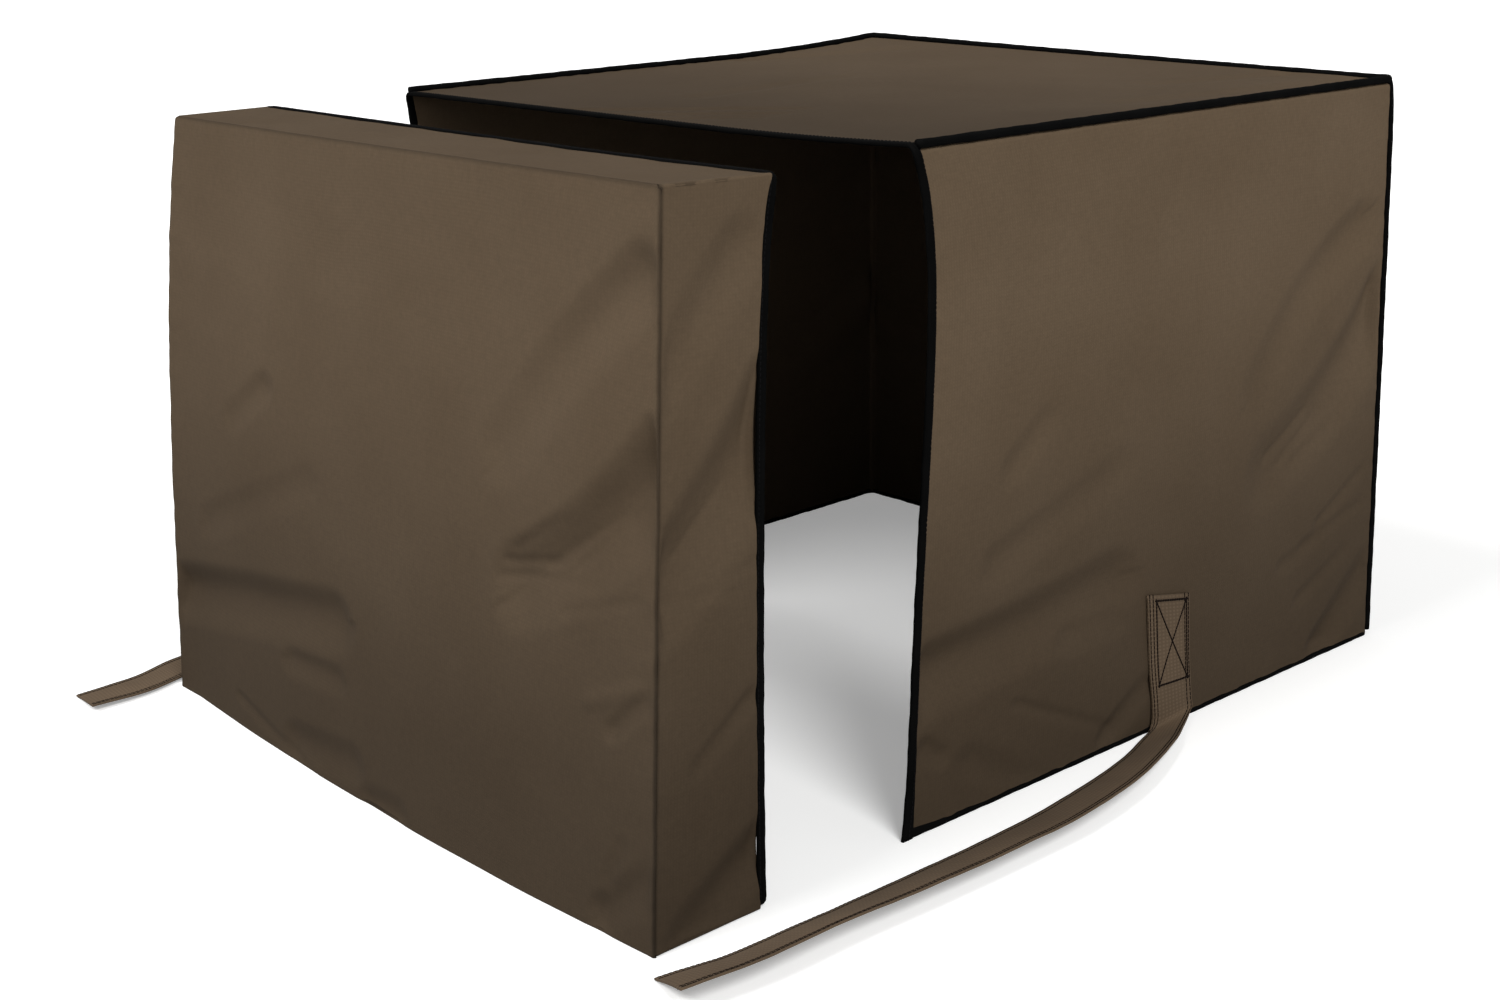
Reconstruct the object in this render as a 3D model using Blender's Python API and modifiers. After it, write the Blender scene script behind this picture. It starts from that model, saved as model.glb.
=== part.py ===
"""Two-piece fitted cloth cover: a boxy front cap and a deep rear cover with two sewn-on straps.

Both pieces stand as fitted, with the gap between their mouths left open. Units are metres, +Z is up
and +Y runs from the front cap to the back. The origin is the middle of the underside of the rear
cover's top panel.
"""

import math
from collections import namedtuple

import bmesh
import bpy
import numpy as np

# Driving dimensions
COVER_WIDTH = 0.600
COVER_HEIGHT = 0.490
CAP_DEPTH = 0.087
MOUTH_DISTANCE = 0.128  # from the cap's mouth to the rear cover's mouth, at the top
REAR_DEPTH = 0.575
CLOTH = 0.002  # cloth thickness
GAP = 0.0003  # between neighbouring pieces

# How far the cloth leans, bows and flares towards its bottom edge
CAP_FRONT_LEAN = 0.030
CAP_FRONT_BOW = 0.011
CAP_MOUTH_LEAN = 0.0175
CAP_LEFT_FLARE = 0.0345
CAP_RIGHT_FLARE = 0.006
REAR_MOUTH_LEAN = 0.010
REAR_MOUTH_FLARE = 0.004
REAR_BACK_FLARE = 0.010
REAR_BACK_LEAN = 0.009

# Corners that stand out
CAP_MOUTH_CORNER = 0.0085  # the mouth's top right corner reaches back
CAP_FRONT_CORNER = 0.003  # the front's top right corner stands up
REAR_MOUTH_CORNER = 0.0045  # the rear mouth's top right corner stands up
REAR_BACK_CORNER = 0.008  # the rear cover's top left back corner stands up
REAR_HEM_CORNER = 0.005  # the hem's front corners reach forward
MOUTH_BOW_RIGHT = 0.0175  # the mouth's side edge bows back, most at BOW_HEIGHT down
MOUTH_BOW_LEFT = 0.009
BOW_HEIGHT = 0.24
PANEL_BELLY = 0.004

# Bindings, piping and straps
BINDING_WIDTH = 0.007
BINDING_THICKNESS = 0.0028
BINDING_PROUD = 0.0004  # how far a binding stands out from the cloth
BINDING_CORNER = 0.008
PIPING_RADIUS = 0.003
PIPING_INSET = 0.0015  # piping centre, in from the cover's outer corner
PIPING_CORNER = 0.005  # bend of the piping's centre line
STRAP_THICKNESS = 0.0015

# Mesh and fold settings
RIM = 0.004  # flat strip round each panel, beside its seams
FOLD_FADE = 0.020  # folds reach full depth this far inside the rim
STRAP_STEPS = 3  # mesh rows between two rows of a strap table

# Places that follow from the sizes
HALF_WIDTH = COVER_WIDTH / 2
TOP_Z = CLOTH
FLOOR_Z = TOP_Z - COVER_HEIGHT
MOUTH_Y = -REAR_DEPTH / 2
BACK_Y = REAR_DEPTH / 2
CAP_MOUTH_Y = MOUTH_Y - MOUTH_DISTANCE
CAP_FRONT_Y = CAP_MOUTH_Y - CAP_DEPTH
PIPED_EDGE = PIPING_INSET + PIPING_RADIUS + 2 * GAP  # a panel stops this far from a piped corner
BEHIND_FRONT = CLOTH + 0.0006  # gussets start this far behind the front panel's face

# A fold is a soft trough from one point of a panel to another, in metres across and above the floor
# (on a top panel: across and behind the cap's front). bow moves its middle sideways, depth is
# negative for a ridge, above and below are its half widths on its two sides, and fade is the
# strength left at its end.
Fold = namedtuple("Fold", "across up to_across to_up bow depth above below fade")

FRONT_FOLDS = (
    Fold(0.305, 0.335, 0.180, 0.212, 0.006, 0.0100, 0.024, 0.040, 0.35),
    Fold(0.300, 0.368, 0.195, 0.262, 0.004, -0.0030, 0.020, 0.020, 0.30),
    Fold(0.305, 0.418, 0.150, 0.285, 0.006, 0.0055, 0.034, 0.034, 0.25),
    Fold(-0.335, 0.098, -0.070, 0.134, 0.004, 0.0090, 0.024, 0.032, 0.55),
    Fold(-0.150, 0.078, -0.050, 0.090, 0.000, 0.0040, 0.018, 0.022, 0.80),
    Fold(-0.215, 0.262, -0.190, 0.292, 0.000, 0.0035, 0.022, 0.022, 0.60),
    Fold(0.300, 0.055, 0.235, 0.004, 0.000, 0.0050, 0.020, 0.030, 0.60),
    Fold(-0.040, 0.008, -0.005, 0.012, 0.000, 0.0035, 0.022, 0.020, 0.80),
)
CAP_RIGHT_FOLDS = (
    Fold(0.090, 0.345, -0.010, 0.238, 0.004, 0.0065, 0.020, 0.034, 0.85),
    Fold(0.090, 0.430, 0.000, 0.325, 0.000, 0.0035, 0.028, 0.028, 0.60),
    Fold(0.080, 0.040, 0.010, 0.000, 0.000, 0.0045, 0.020, 0.024, 0.60),
)
CAP_LEFT_FOLDS = (
    Fold(0.000, 0.100, 0.090, 0.150, 0.000, 0.0060, 0.024, 0.034, 0.50),
    Fold(0.090, 0.360, 0.010, 0.280, 0.000, 0.0040, 0.026, 0.034, 0.50),
)
RIGHT_FOLDS = (
    Fold(0.795, 0.312, 0.640, 0.192, 0.015, 0.0105, 0.024, 0.040, 0.35),
    Fold(0.792, 0.350, 0.660, 0.235, 0.012, -0.0030, 0.020, 0.020, 0.30),
    Fold(0.792, 0.395, 0.645, 0.262, 0.008, 0.0055, 0.034, 0.034, 0.25),
    Fold(0.215, 0.118, 0.432, 0.150, 0.004, 0.0095, 0.024, 0.034, 0.50),
    Fold(0.372, 0.098, 0.440, 0.096, 0.000, 0.0040, 0.018, 0.022, 0.70),
    Fold(0.415, 0.236, 0.325, 0.190, 0.000, 0.0035, 0.024, 0.026, 0.60),
    Fold(0.322, 0.262, 0.392, 0.296, 0.000, 0.0035, 0.022, 0.022, 0.60),
    Fold(0.795, 0.066, 0.720, 0.002, 0.004, 0.0065, 0.022, 0.030, 0.60),
    Fold(0.240, 0.058, 0.248, 0.064, 0.000, 0.0035, 0.020, 0.020, 1.00),
)
LEFT_FOLDS = (
    Fold(0.795, 0.240, 0.610, 0.150, 0.012, 0.0095, 0.026, 0.040, 0.30),
    Fold(0.215, 0.330, 0.400, 0.245, -0.008, 0.0070, 0.030, 0.036, 0.35),
    Fold(0.215, 0.090, 0.390, 0.130, 0.004, 0.0080, 0.026, 0.034, 0.45),
)
BACK_FOLDS = (
    Fold(0.300, 0.300, 0.120, 0.190, 0.010, 0.0090, 0.026, 0.040, 0.30),
    Fold(-0.300, 0.210, -0.110, 0.130, -0.008, 0.0085, 0.028, 0.040, 0.35),
    Fold(-0.300, 0.385, -0.160, 0.330, 0.000, 0.0050, 0.030, 0.030, 0.40),
)
TOP_FOLDS = (
    Fold(-0.120, 0.220, 0.070, 0.346, 0.004, 0.0050, 0.022, 0.026, 0.60),
    Fold(0.275, 0.785, 0.232, 0.500, 0.010, 0.0050, 0.022, 0.026, 0.40),
    Fold(0.205, 0.790, 0.170, 0.640, 0.004, 0.0035, 0.020, 0.020, 0.40),
    Fold(-0.290, 0.600, -0.215, 0.740, 0.000, 0.0035, 0.024, 0.024, 0.50),
)

# One row of a strap: the two edges of the webbing. out is the distance from the side panel, behind is
# measured from the cap's front and up from the floor. The near edge is the one towards the cap.
StrapRow = namedtuple("StrapRow", "near_out near_behind near_up far_out far_behind far_up")

RIGHT_STRAP = (
    StrapRow(0.0013, 0.472, 0.1200, 0.0013, 0.526, 0.1085),
    StrapRow(0.0014, 0.479, 0.0600, 0.0014, 0.531, 0.0550),
    StrapRow(0.0020, 0.485, 0.0220, 0.0022, 0.535, 0.0200),
    StrapRow(0.0034, 0.482, 0.0050, 0.0044, 0.534, 0.0080),
    StrapRow(0.0094, 0.458, 0.0011, 0.0189, 0.505, 0.0060),
    StrapRow(0.0197, 0.425, 0.0011, 0.0398, 0.464, 0.0110),
    StrapRow(0.0285, 0.375, 0.0011, 0.0655, 0.394, 0.0155),
    StrapRow(0.0361, 0.310, 0.0011, 0.0802, 0.315, 0.0168),
    StrapRow(0.0392, 0.240, 0.0011, 0.0827, 0.240, 0.0168),
    StrapRow(0.0388, 0.150, 0.0011, 0.0813, 0.150, 0.0175),
    StrapRow(0.0371, 0.070, 0.0011, 0.0780, 0.070, 0.0190),
    StrapRow(0.0345, 0.005, 0.0011, 0.0775, -0.002, 0.0195),
    StrapRow(0.0249, -0.046, 0.0011, 0.0702, -0.062, 0.0195),
)
LEFT_STRAP = (
    StrapRow(0.0013, 0.472, 0.1200, 0.0013, 0.526, 0.1085),
    StrapRow(0.0014, 0.479, 0.0600, 0.0014, 0.531, 0.0550),
    StrapRow(0.0020, 0.485, 0.0220, 0.0022, 0.535, 0.0200),
    StrapRow(0.0034, 0.486, 0.0050, 0.0044, 0.537, 0.0080),
    StrapRow(0.0133, 0.466, 0.0011, 0.0220, 0.512, 0.0040),
    StrapRow(0.0258, 0.430, 0.0011, 0.0534, 0.464, 0.0030),
    StrapRow(0.0363, 0.375, 0.0011, 0.0802, 0.386, 0.0020),
    StrapRow(0.0420, 0.300, 0.0011, 0.0880, 0.302, 0.0011),
    StrapRow(0.0462, 0.200, 0.0011, 0.0922, 0.198, 0.0011),
    StrapRow(0.0512, 0.100, 0.0020, 0.0967, 0.100, 0.0011),
    StrapRow(0.0502, 0.000, 0.0030, 0.0957, 0.003, 0.0011),
    StrapRow(0.0348, -0.058, 0.0040, 0.0798, -0.051, 0.0011),
    StrapRow(0.0330, -0.112, 0.0060, 0.0764, -0.107, 0.0011),
)


def clear_scene():
    for old in list(bpy.data.objects):
        bpy.data.objects.remove(old, do_unlink=True)


def make_material(name, red, green, blue, roughness):
    """A Principled material from an sRGB colour, each channel 0 to 255."""
    material = bpy.data.materials.new(name)
    material.use_nodes = True
    shader = material.node_tree.nodes["Principled BSDF"]
    linear = [(channel / 255) ** 2.2 for channel in (red, green, blue)]
    shader.inputs["Base Color"].default_value = (*linear, 1.0)
    shader.inputs["Roughness"].default_value = roughness
    shader.inputs["Metallic"].default_value = 0.0
    return material


def down(z):
    """0 at the cover's top, 1 at its bottom edge."""
    return (TOP_Z - z) / COVER_HEIGHT


def lowness(z):
    """The same, held between 0 and 1."""
    return np.clip(down(z), 0, 1)


def rightness(x, start):
    """0 up to start, 1 at the right edge."""
    return np.clip((x - start) / (HALF_WIDTH - start), 0, 1)


def cap_front_y(x, z):
    """The cap's face leans forward at the bottom, more in the middle of its width."""
    low = lowness(z)
    middle = np.clip(1 - (x / HALF_WIDTH) ** 2, 0, 1)
    return CAP_FRONT_Y - CAP_FRONT_LEAN * down(z) - CAP_FRONT_BOW * low**2 * middle


def cap_mouth_y(x, z):
    """The cap's open edge leans forward too, and its top right corner reaches back."""
    low = lowness(z)
    corner = CAP_MOUTH_CORNER * rightness(x, 0.1) ** 2 * np.exp(-low / 0.08)
    return CAP_MOUTH_Y - CAP_MOUTH_LEAN * (1 - (1 - low) ** 1.6) + corner


def cap_left_x(z):
    return -HALF_WIDTH - CAP_LEFT_FLARE * (1 - (1 - lowness(z)) ** 4)


def cap_right_x(z):
    return HALF_WIDTH + CAP_RIGHT_FLARE * down(z)


def rear_mouth_y(z, bow):
    """The mouth's side edge: it bows back below the top corner and leans forward at the bottom."""
    low = lowness(z)
    lean = REAR_MOUTH_LEAN * low + REAR_HEM_CORNER * np.exp((low - 1) / 0.06)
    return MOUTH_Y - lean + bow * (low / BOW_HEIGHT) * np.exp(1 - low / BOW_HEIGHT)


def rear_back_y(z):
    return BACK_Y + REAR_BACK_LEAN * lowness(z) ** 0.7


def top_rise(x, y):
    """How far the rear cover's top stands up at two of its corners."""
    left = np.clip((HALF_WIDTH - x) / COVER_WIDTH, 0, 1) ** 1.3
    behind = np.clip((y - MOUTH_Y) / REAR_DEPTH, 0, 1)
    back = REAR_BACK_CORNER * left * np.clip((behind - 0.6) / 0.4, 0, 1) ** 2.2
    return back + REAR_MOUTH_CORNER * rightness(x, 0.1) ** 2 * (1 - behind)


def side_x(y, z):
    """Half width of the rear cover: it flares towards its bottom, more at the back."""
    along = (y - MOUTH_Y) / REAR_DEPTH
    return HALF_WIDTH + (REAR_MOUTH_FLARE + (REAR_BACK_FLARE - REAR_MOUTH_FLARE) * along) * down(z)


def belly(u, v):
    return PANEL_BELLY * np.sin(math.pi * u) * np.sin(math.pi * v)


def side_surface_x(y, z):
    """Outer face of a side panel without its folds."""
    u = np.clip((y - MOUTH_Y) / REAR_DEPTH, 0, 1)
    v = np.clip((z - FLOOR_Z) / COVER_HEIGHT, 0, 1)
    return side_x(y, z) + belly(u, v)


def soft(distance):
    """A smooth hump: 1 at 0, level and exactly 0 from 1 on."""
    return np.where(np.abs(distance) < 1, (1 - np.clip(distance, -1, 1) ** 2) ** 2, 0.0)


def fold_depth(folds, across, up):
    """How far the folds press the cloth in, at points across and up the panel."""
    total = np.zeros_like(across)
    for fold in folds:
        run = np.array([fold.to_across - fold.across, fold.to_up - fold.up])
        length = math.hypot(*run)
        run = run / length
        right, rise = across - fold.across, up - fold.up
        along = (right * run[0] + rise * run[1]) / length
        side = rise * run[0] - right * run[1]
        if run[0] < 0:
            side = -side
        inside = np.clip(along, 0, 1)
        side = side + fold.bow * 4 * inside * (1 - inside)
        width = np.where(side > 0, fold.above, fold.below)
        beyond = (along - inside) * length / width
        strength = 1 + (fold.fade - 1) * inside
        total += fold.depth * strength * soft(np.hypot(side / width, beyond))
    return total


def edge_fade(*distances):
    """0 beside a seam, 1 well inside the panel."""
    nearest = np.minimum.reduce(distances)
    t = np.clip((nearest - RIM) / FOLD_FADE, 0, 1)
    return t * t * (3 - 2 * t)


def rimmed(t, length):
    """Spreads even mesh lines so that the outermost strip is RIM wide."""
    steps = np.unique(np.round(t, 6))
    lines = np.concatenate([[0.0], np.linspace(RIM / length, 1 - RIM / length, len(steps) - 2), [1.0]])
    return np.interp(t, steps, lines)


def grid_points(columns, rows):
    """A grid object and its vertices' places on it, 0 to 1 across and up."""
    bpy.ops.mesh.primitive_grid_add(x_subdivisions=columns, y_subdivisions=rows, size=1)
    piece = bpy.context.object
    flat = np.empty(len(piece.data.vertices) * 3)
    piece.data.vertices.foreach_get("co", flat)
    flat = flat.reshape(-1, 3) + 0.5
    return piece, flat[:, 0], flat[:, 1]


def finish_sheet(piece, name, points, thickness, material, collection, weld=False):
    """Puts the grid's vertices in place and gives the sheet its thickness, inwards."""
    piece.data.vertices.foreach_set("co", np.stack(points, axis=1).ravel())
    if weld:
        mesh = bmesh.new()
        mesh.from_mesh(piece.data)
        bmesh.ops.remove_doubles(mesh, verts=mesh.verts, dist=1e-5)
        mesh.to_mesh(piece.data)
        mesh.free()
    piece.data.update()
    piece.data.shade_smooth()
    shell = piece.modifiers.new("thickness", "SOLIDIFY")
    shell.thickness = thickness
    shell.offset = -1
    shell.use_even_offset = True
    piece.name = piece.data.name = name
    piece.data.materials.append(material)
    for holder in list(piece.users_collection):
        holder.objects.unlink(piece)
    collection.objects.link(piece)
    return piece


def floor_coordinates(y, z):
    """The folds' own coordinates: behind the cap's front, and above the floor."""
    return y - CAP_FRONT_Y, z - FLOOR_Z


def make_front_panel(cloth, collection):
    """The cap's face, which leans forward at the bottom and bulges at the left."""
    piece, u, v = grid_points(24, 20)
    u, v = rimmed(u, COVER_WIDTH), rimmed(v, COVER_HEIGHT)
    z = FLOOR_Z + v * (COVER_HEIGHT + CAP_FRONT_CORNER * u**2)
    left, right = cap_left_x(z), cap_right_x(z)
    x = left + u * (right - left)
    fade = edge_fade(x - left, right - x, z - FLOOR_Z, TOP_Z - z)
    y = cap_front_y(x, z) + fade * fold_depth(FRONT_FOLDS, x, z - FLOOR_Z)
    finish_sheet(piece, "cap_front_panel", (x, y, z), CLOTH, cloth, collection)


def make_cap_sides(cloth, collection):
    """The cap's left and right gussets, between its top and bottom gussets."""
    tuck = CLOTH + GAP
    for name, across, sign, folds in (
        ("cap_right_gusset", cap_right_x, 1, CAP_RIGHT_FOLDS),
        ("cap_left_gusset", cap_left_x, -1, CAP_LEFT_FOLDS),
    ):
        piece, u, v = grid_points(7, 20)
        u, v = rimmed(u, CAP_DEPTH), rimmed(v, COVER_HEIGHT)
        backward = u if sign > 0 else 1 - u
        corner = (CAP_FRONT_CORNER if sign > 0 else 0) * (1 - backward)
        height = COVER_HEIGHT - BINDING_PROUD - 2 * tuck + corner
        z = FLOOR_Z + BINDING_PROUD + tuck + v * height
        start = cap_front_y(across(z), z) + BEHIND_FRONT
        end = cap_mouth_y(across(z), z) - BINDING_WIDTH - 2 * GAP
        y = start + backward * (end - start)
        behind, up = floor_coordinates(y, z)
        fade = edge_fade(y - start, end - y, z - FLOOR_Z, TOP_Z - z)
        x = across(z) - sign * fade * fold_depth(folds, behind, up)
        finish_sheet(piece, name, (x, y, z), CLOTH, cloth, collection)


def make_cap_top_and_bottom(cloth, collection):
    """The cap's top and bottom gussets, each the full width of the cap."""
    for name, z_face, facing_up in (
        ("cap_top_gusset", TOP_Z, True),
        ("cap_bottom_gusset", FLOOR_Z + BINDING_PROUD, False),
    ):
        piece, u, v = grid_points(16, 4)
        across = u if facing_up else 1 - u
        left, right = cap_left_x(z_face), cap_right_x(z_face)
        x = left + across * (right - left)
        start = cap_front_y(x, z_face) + BEHIND_FRONT
        end = cap_mouth_y(x, z_face) - BINDING_WIDTH - 2 * GAP
        y = start + v * (end - start)
        z = z_face + (CAP_FRONT_CORNER * across**2 * (1 - v) if facing_up else 0 * v)
        finish_sheet(piece, name, (x, y, z), CLOTH, cloth, collection)


def corner_arc(centre_x, centre_z, radius, first_angle, last_angle, steps=4):
    angles = np.radians(np.linspace(first_angle, last_angle, steps + 1))
    return np.stack([centre_x + radius * np.cos(angles), centre_z + radius * np.sin(angles)], axis=1)


def straight(first_x, last_x, z, steps=16):
    """Points between two corners, without the corners themselves."""
    x = np.linspace(first_x, last_x, steps + 1)[1:-1]
    return np.stack([x, np.full_like(x, z)], axis=1)


def make_band(name, outline, front_y, closed, binding, collection):
    """A flat binding round a mouth: outline is its outer face as (x, z) rows, clockwise from the front."""
    corners = np.vstack([outline, outline[:1]]) if closed else outline
    piece, u, v = grid_points(len(corners) - 1, 1)
    place = np.round(u * (len(corners) - 1)).astype(int)
    x, z = corners[place, 0], corners[place, 1]
    y = front_y(x, z) + v * BINDING_WIDTH
    finish_sheet(piece, name, (x, y, z), BINDING_THICKNESS, binding, collection, weld=closed)


def make_cap_binding(binding, collection):
    """The binding all round the cap's open back."""
    top, bottom, r = TOP_Z + BINDING_PROUD, FLOOR_Z, BINDING_CORNER
    heights = np.linspace(bottom + r, top - r, 13)
    left = np.stack([cap_left_x(heights) - BINDING_PROUD, heights], axis=1)
    right = np.stack([cap_right_x(heights) + BINDING_PROUD, heights], axis=1)[::-1]
    outline = np.vstack(
        [
            left[:-1],
            corner_arc(left[-1, 0] + r, top - r, r, 180, 90),
            straight(left[-1, 0] + r, right[0, 0] - r, top),
            corner_arc(right[0, 0] - r, top - r, r, 90, 0),
            right[1:-1],
            corner_arc(right[-1, 0] - r, bottom + r, r, 0, -90),
            corner_arc(left[0, 0] + r, bottom + r, r, -90, -180)[:-1],
        ]
    )

    def front_y(x, z):
        return cap_mouth_y(x, z) - BINDING_WIDTH

    make_band("cap_mouth_binding", outline, front_y, True, binding, collection)


def make_rear_mouth_binding(binding, collection):
    """The binding of the rear cover's mouth: up the left edge, across the top, down the right."""
    top, r = TOP_Z + BINDING_PROUD, BINDING_CORNER
    heights = FLOOR_Z + (top - r - FLOOR_Z) * np.linspace(0, 1, 25)
    edge = side_x(MOUTH_Y, heights) + BINDING_PROUD
    left = np.stack([-edge, heights], axis=1)
    right = np.stack([edge, heights], axis=1)[::-1]
    outline = np.vstack(
        [
            left[:-1],
            corner_arc(left[-1, 0] + r, top - r, r, 180, 90),
            straight(left[-1, 0] + r, right[0, 0] - r, top),
            corner_arc(right[0, 0] - r, top - r, r, 90, 0),
            right[1:],
        ]
    )
    high = np.clip((outline[:, 1] - FLOOR_Z) / COVER_HEIGHT, 0, 1) ** 4
    outline[:, 1] += top_rise(outline[:, 0], MOUTH_Y) * high

    def front_y(x, z):
        return rear_mouth_y(z, np.where(x > 0, MOUTH_BOW_RIGHT, MOUTH_BOW_LEFT))

    make_band("rear_mouth_binding", outline, front_y, False, binding, collection)


def make_hem_binding(binding, collection):
    """The band that binds the rear cover's bottom edge, from the mouth round the back to the mouth."""
    r = BINDING_CORNER
    start = rear_mouth_y(FLOOR_Z, 0) + BINDING_WIDTH + 4 * GAP
    start_right = start + rear_mouth_y(FLOOR_Z, MOUTH_BOW_RIGHT) - rear_mouth_y(FLOOR_Z, 0)
    start_left = start + rear_mouth_y(FLOOR_Z, MOUTH_BOW_LEFT) - rear_mouth_y(FLOOR_Z, 0)
    outer_back = rear_back_y(FLOOR_Z) + BINDING_PROUD
    run_right = np.linspace(start_right, outer_back - r, 9)
    run_left = np.linspace(outer_back - r, start_left, 9)
    x_right = side_x(run_right, FLOOR_Z) + BINDING_PROUD
    x_left = -side_x(run_left, FLOOR_Z) - BINDING_PROUD
    path = np.vstack(
        [
            np.stack([x_right, run_right], axis=1)[:-1],
            corner_arc(x_right[-1] - r, outer_back - r, r, 0, 90),
            corner_arc(x_left[0] + r, outer_back - r, r, 90, 180),
            np.stack([x_left, run_left], axis=1)[1:],
        ]
    )
    piece, u, v = grid_points(len(path) - 1, 1)
    place = np.round(u * (len(path) - 1)).astype(int)
    points = (path[place, 0], path[place, 1], FLOOR_Z + v * BINDING_WIDTH)
    finish_sheet(piece, "rear_hem_binding", points, BINDING_THICKNESS, binding, collection)


def make_side_panel(name, sign, folds, bow, cloth, collection):
    """A side of the rear cover, from the mouth's binding to the piping at the back corner."""
    piece, u, v = grid_points(26, 20) if sign > 0 else grid_points(26, 14)
    u, v = rimmed(u, REAR_DEPTH), rimmed(v, COVER_HEIGHT)
    backward = u if sign > 0 else 1 - u
    low = FLOOR_Z + BINDING_WIDTH + GAP
    high = TOP_Z - PIPED_EDGE + top_rise(sign * HALF_WIDTH, MOUTH_Y + backward * REAR_DEPTH)
    z = low + v * (high - low)
    start = rear_mouth_y(z, bow) + BINDING_WIDTH + 3 * GAP
    end = rear_back_y(z) - PIPED_EDGE
    y = start + backward * (end - start)
    behind, up = floor_coordinates(y, z)
    fade = edge_fade(y - start, end - y, z - low, high - z)
    x = side_x(y, z) + np.minimum(fade, 1) * (belly(u, v) - fold_depth(folds, behind, up))
    finish_sheet(piece, name, (sign * x, y, z), CLOTH, cloth, collection)


def make_back_panel(cloth, collection):
    piece, u, v = grid_points(18, 14)
    u, v = rimmed(u, COVER_WIDTH), rimmed(v, COVER_HEIGHT)
    low = FLOOR_Z + BINDING_WIDTH + GAP
    high = TOP_Z - PIPED_EDGE + top_rise(HALF_WIDTH - COVER_WIDTH * u, BACK_Y)
    z = low + v * (high - low)
    edge = side_x(BACK_Y, z) - PIPED_EDGE
    x = edge - 2 * edge * u
    fade = edge_fade(edge - x, edge + x, z - low, high - z)
    y = rear_back_y(z) + fade * (belly(u, v) - fold_depth(BACK_FOLDS, x, z - FLOOR_Z))
    finish_sheet(piece, "rear_back_panel", (x, y, z), CLOTH, cloth, collection)


def round_corners(x, y, edge, end, radius):
    """Pulls the panel's two back corners in to a circle inside the piping's bend."""
    out, back = np.abs(x) - (edge - radius), y - (end - radius)
    reach = np.hypot(out, back)
    corner = (out > 0) & (back > 0) & (reach > radius)
    pull = np.where(corner, radius / np.maximum(reach, radius), 1.0)
    x = np.where(corner, np.sign(x) * (edge - radius + out * pull), x)
    return x, np.where(corner, end - radius + back * pull, y)


def make_top_panel(cloth, collection):
    piece, u, v = grid_points(18, 18)
    u, v = rimmed(u, COVER_WIDTH), rimmed(v, REAR_DEPTH)
    edge = HALF_WIDTH - PIPED_EDGE
    x = 2 * edge * u - edge
    start, end = MOUTH_Y + BINDING_WIDTH + GAP, BACK_Y - PIPED_EDGE
    y = start + v * (end - start)
    fade = edge_fade(edge - x, edge + x, y - start, end - y)
    z = TOP_Z + top_rise(x, y) - fade * fold_depth(TOP_FOLDS, x, y - CAP_FRONT_Y)
    x, y = round_corners(x, y, edge, end, PIPING_CORNER - PIPING_RADIUS - 2 * GAP)
    finish_sheet(piece, "rear_top_panel", (x, y, z), CLOTH, cloth, collection)


def make_piping(name, points, binding, collection):
    """A round black cord sewn in a corner seam."""
    curve = bpy.data.curves.new(name, "CURVE")
    curve.dimensions = "3D"
    curve.bevel_depth = PIPING_RADIUS
    curve.bevel_resolution = 2
    curve.use_fill_caps = True
    spline = curve.splines.new("POLY")
    spline.points.add(len(points) - 1)
    for point, place in zip(spline.points, points):
        point.co = (*place, 1.0)
    piece = bpy.data.objects.new(name, curve)
    piece.data.materials.append(binding)
    collection.objects.link(piece)


def make_top_piping(binding, collection):
    """Along the left, back and right edges of the rear cover's top."""
    edge, back, r = HALF_WIDTH - PIPING_INSET, BACK_Y - PIPING_INSET, PIPING_CORNER
    z = TOP_Z - PIPING_INSET
    left_start, right_start = (
        rear_mouth_y(z - PIPING_RADIUS, bow) + BINDING_WIDTH + 2 * GAP
        for bow in (MOUTH_BOW_LEFT, MOUTH_BOW_RIGHT)
    )
    plan = np.vstack(
        [
            [[-edge, y] for y in np.linspace(left_start, back - r, 18)],
            corner_arc(-edge + r, back - r, r, 180, 90)[1:],
            straight(-edge + r, edge - r, back, 14),
            corner_arc(edge - r, back - r, r, 90, 0),
            [[edge, y] for y in np.linspace(back - r, right_start, 8)][1:],
        ]
    )
    places = [(x, y, z + top_rise(x, y)) for x, y in plan]
    make_piping("rear_top_piping", places, binding, collection)


def make_corner_piping(name, sign, binding, collection):
    """Down one back corner of the rear cover, between the top piping and the hem binding."""
    top = TOP_Z - PIPED_EDGE + top_rise(sign * HALF_WIDTH, BACK_Y)
    heights = np.linspace(top, FLOOR_Z + BINDING_WIDTH + GAP, 14)
    points = [
        (sign * (side_x(BACK_Y, z) - PIPING_INSET), rear_back_y(z) - PIPING_INSET, z)
        for z in heights
    ]
    make_piping(name, points, binding, collection)


def smooth_rows(rows, steps):
    """Rows between the table's rows, on a smooth curve through them (Catmull-Rom)."""
    held = np.vstack([2 * rows[0] - rows[1], rows, 2 * rows[-1] - rows[-2]])
    t = (np.arange(steps) / steps)[:, None]
    smooth = []
    for before, here, there, after in zip(held, held[1:], held[2:], held[3:]):
        smooth.append(
            0.5
            * (
                2 * here
                + (there - before) * t
                + (2 * before - 5 * here + 4 * there - after) * t**2
                + (3 * here - before - 3 * there + after) * t**3
            )
        )
    return np.vstack([*smooth, rows[-1:]])


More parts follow.
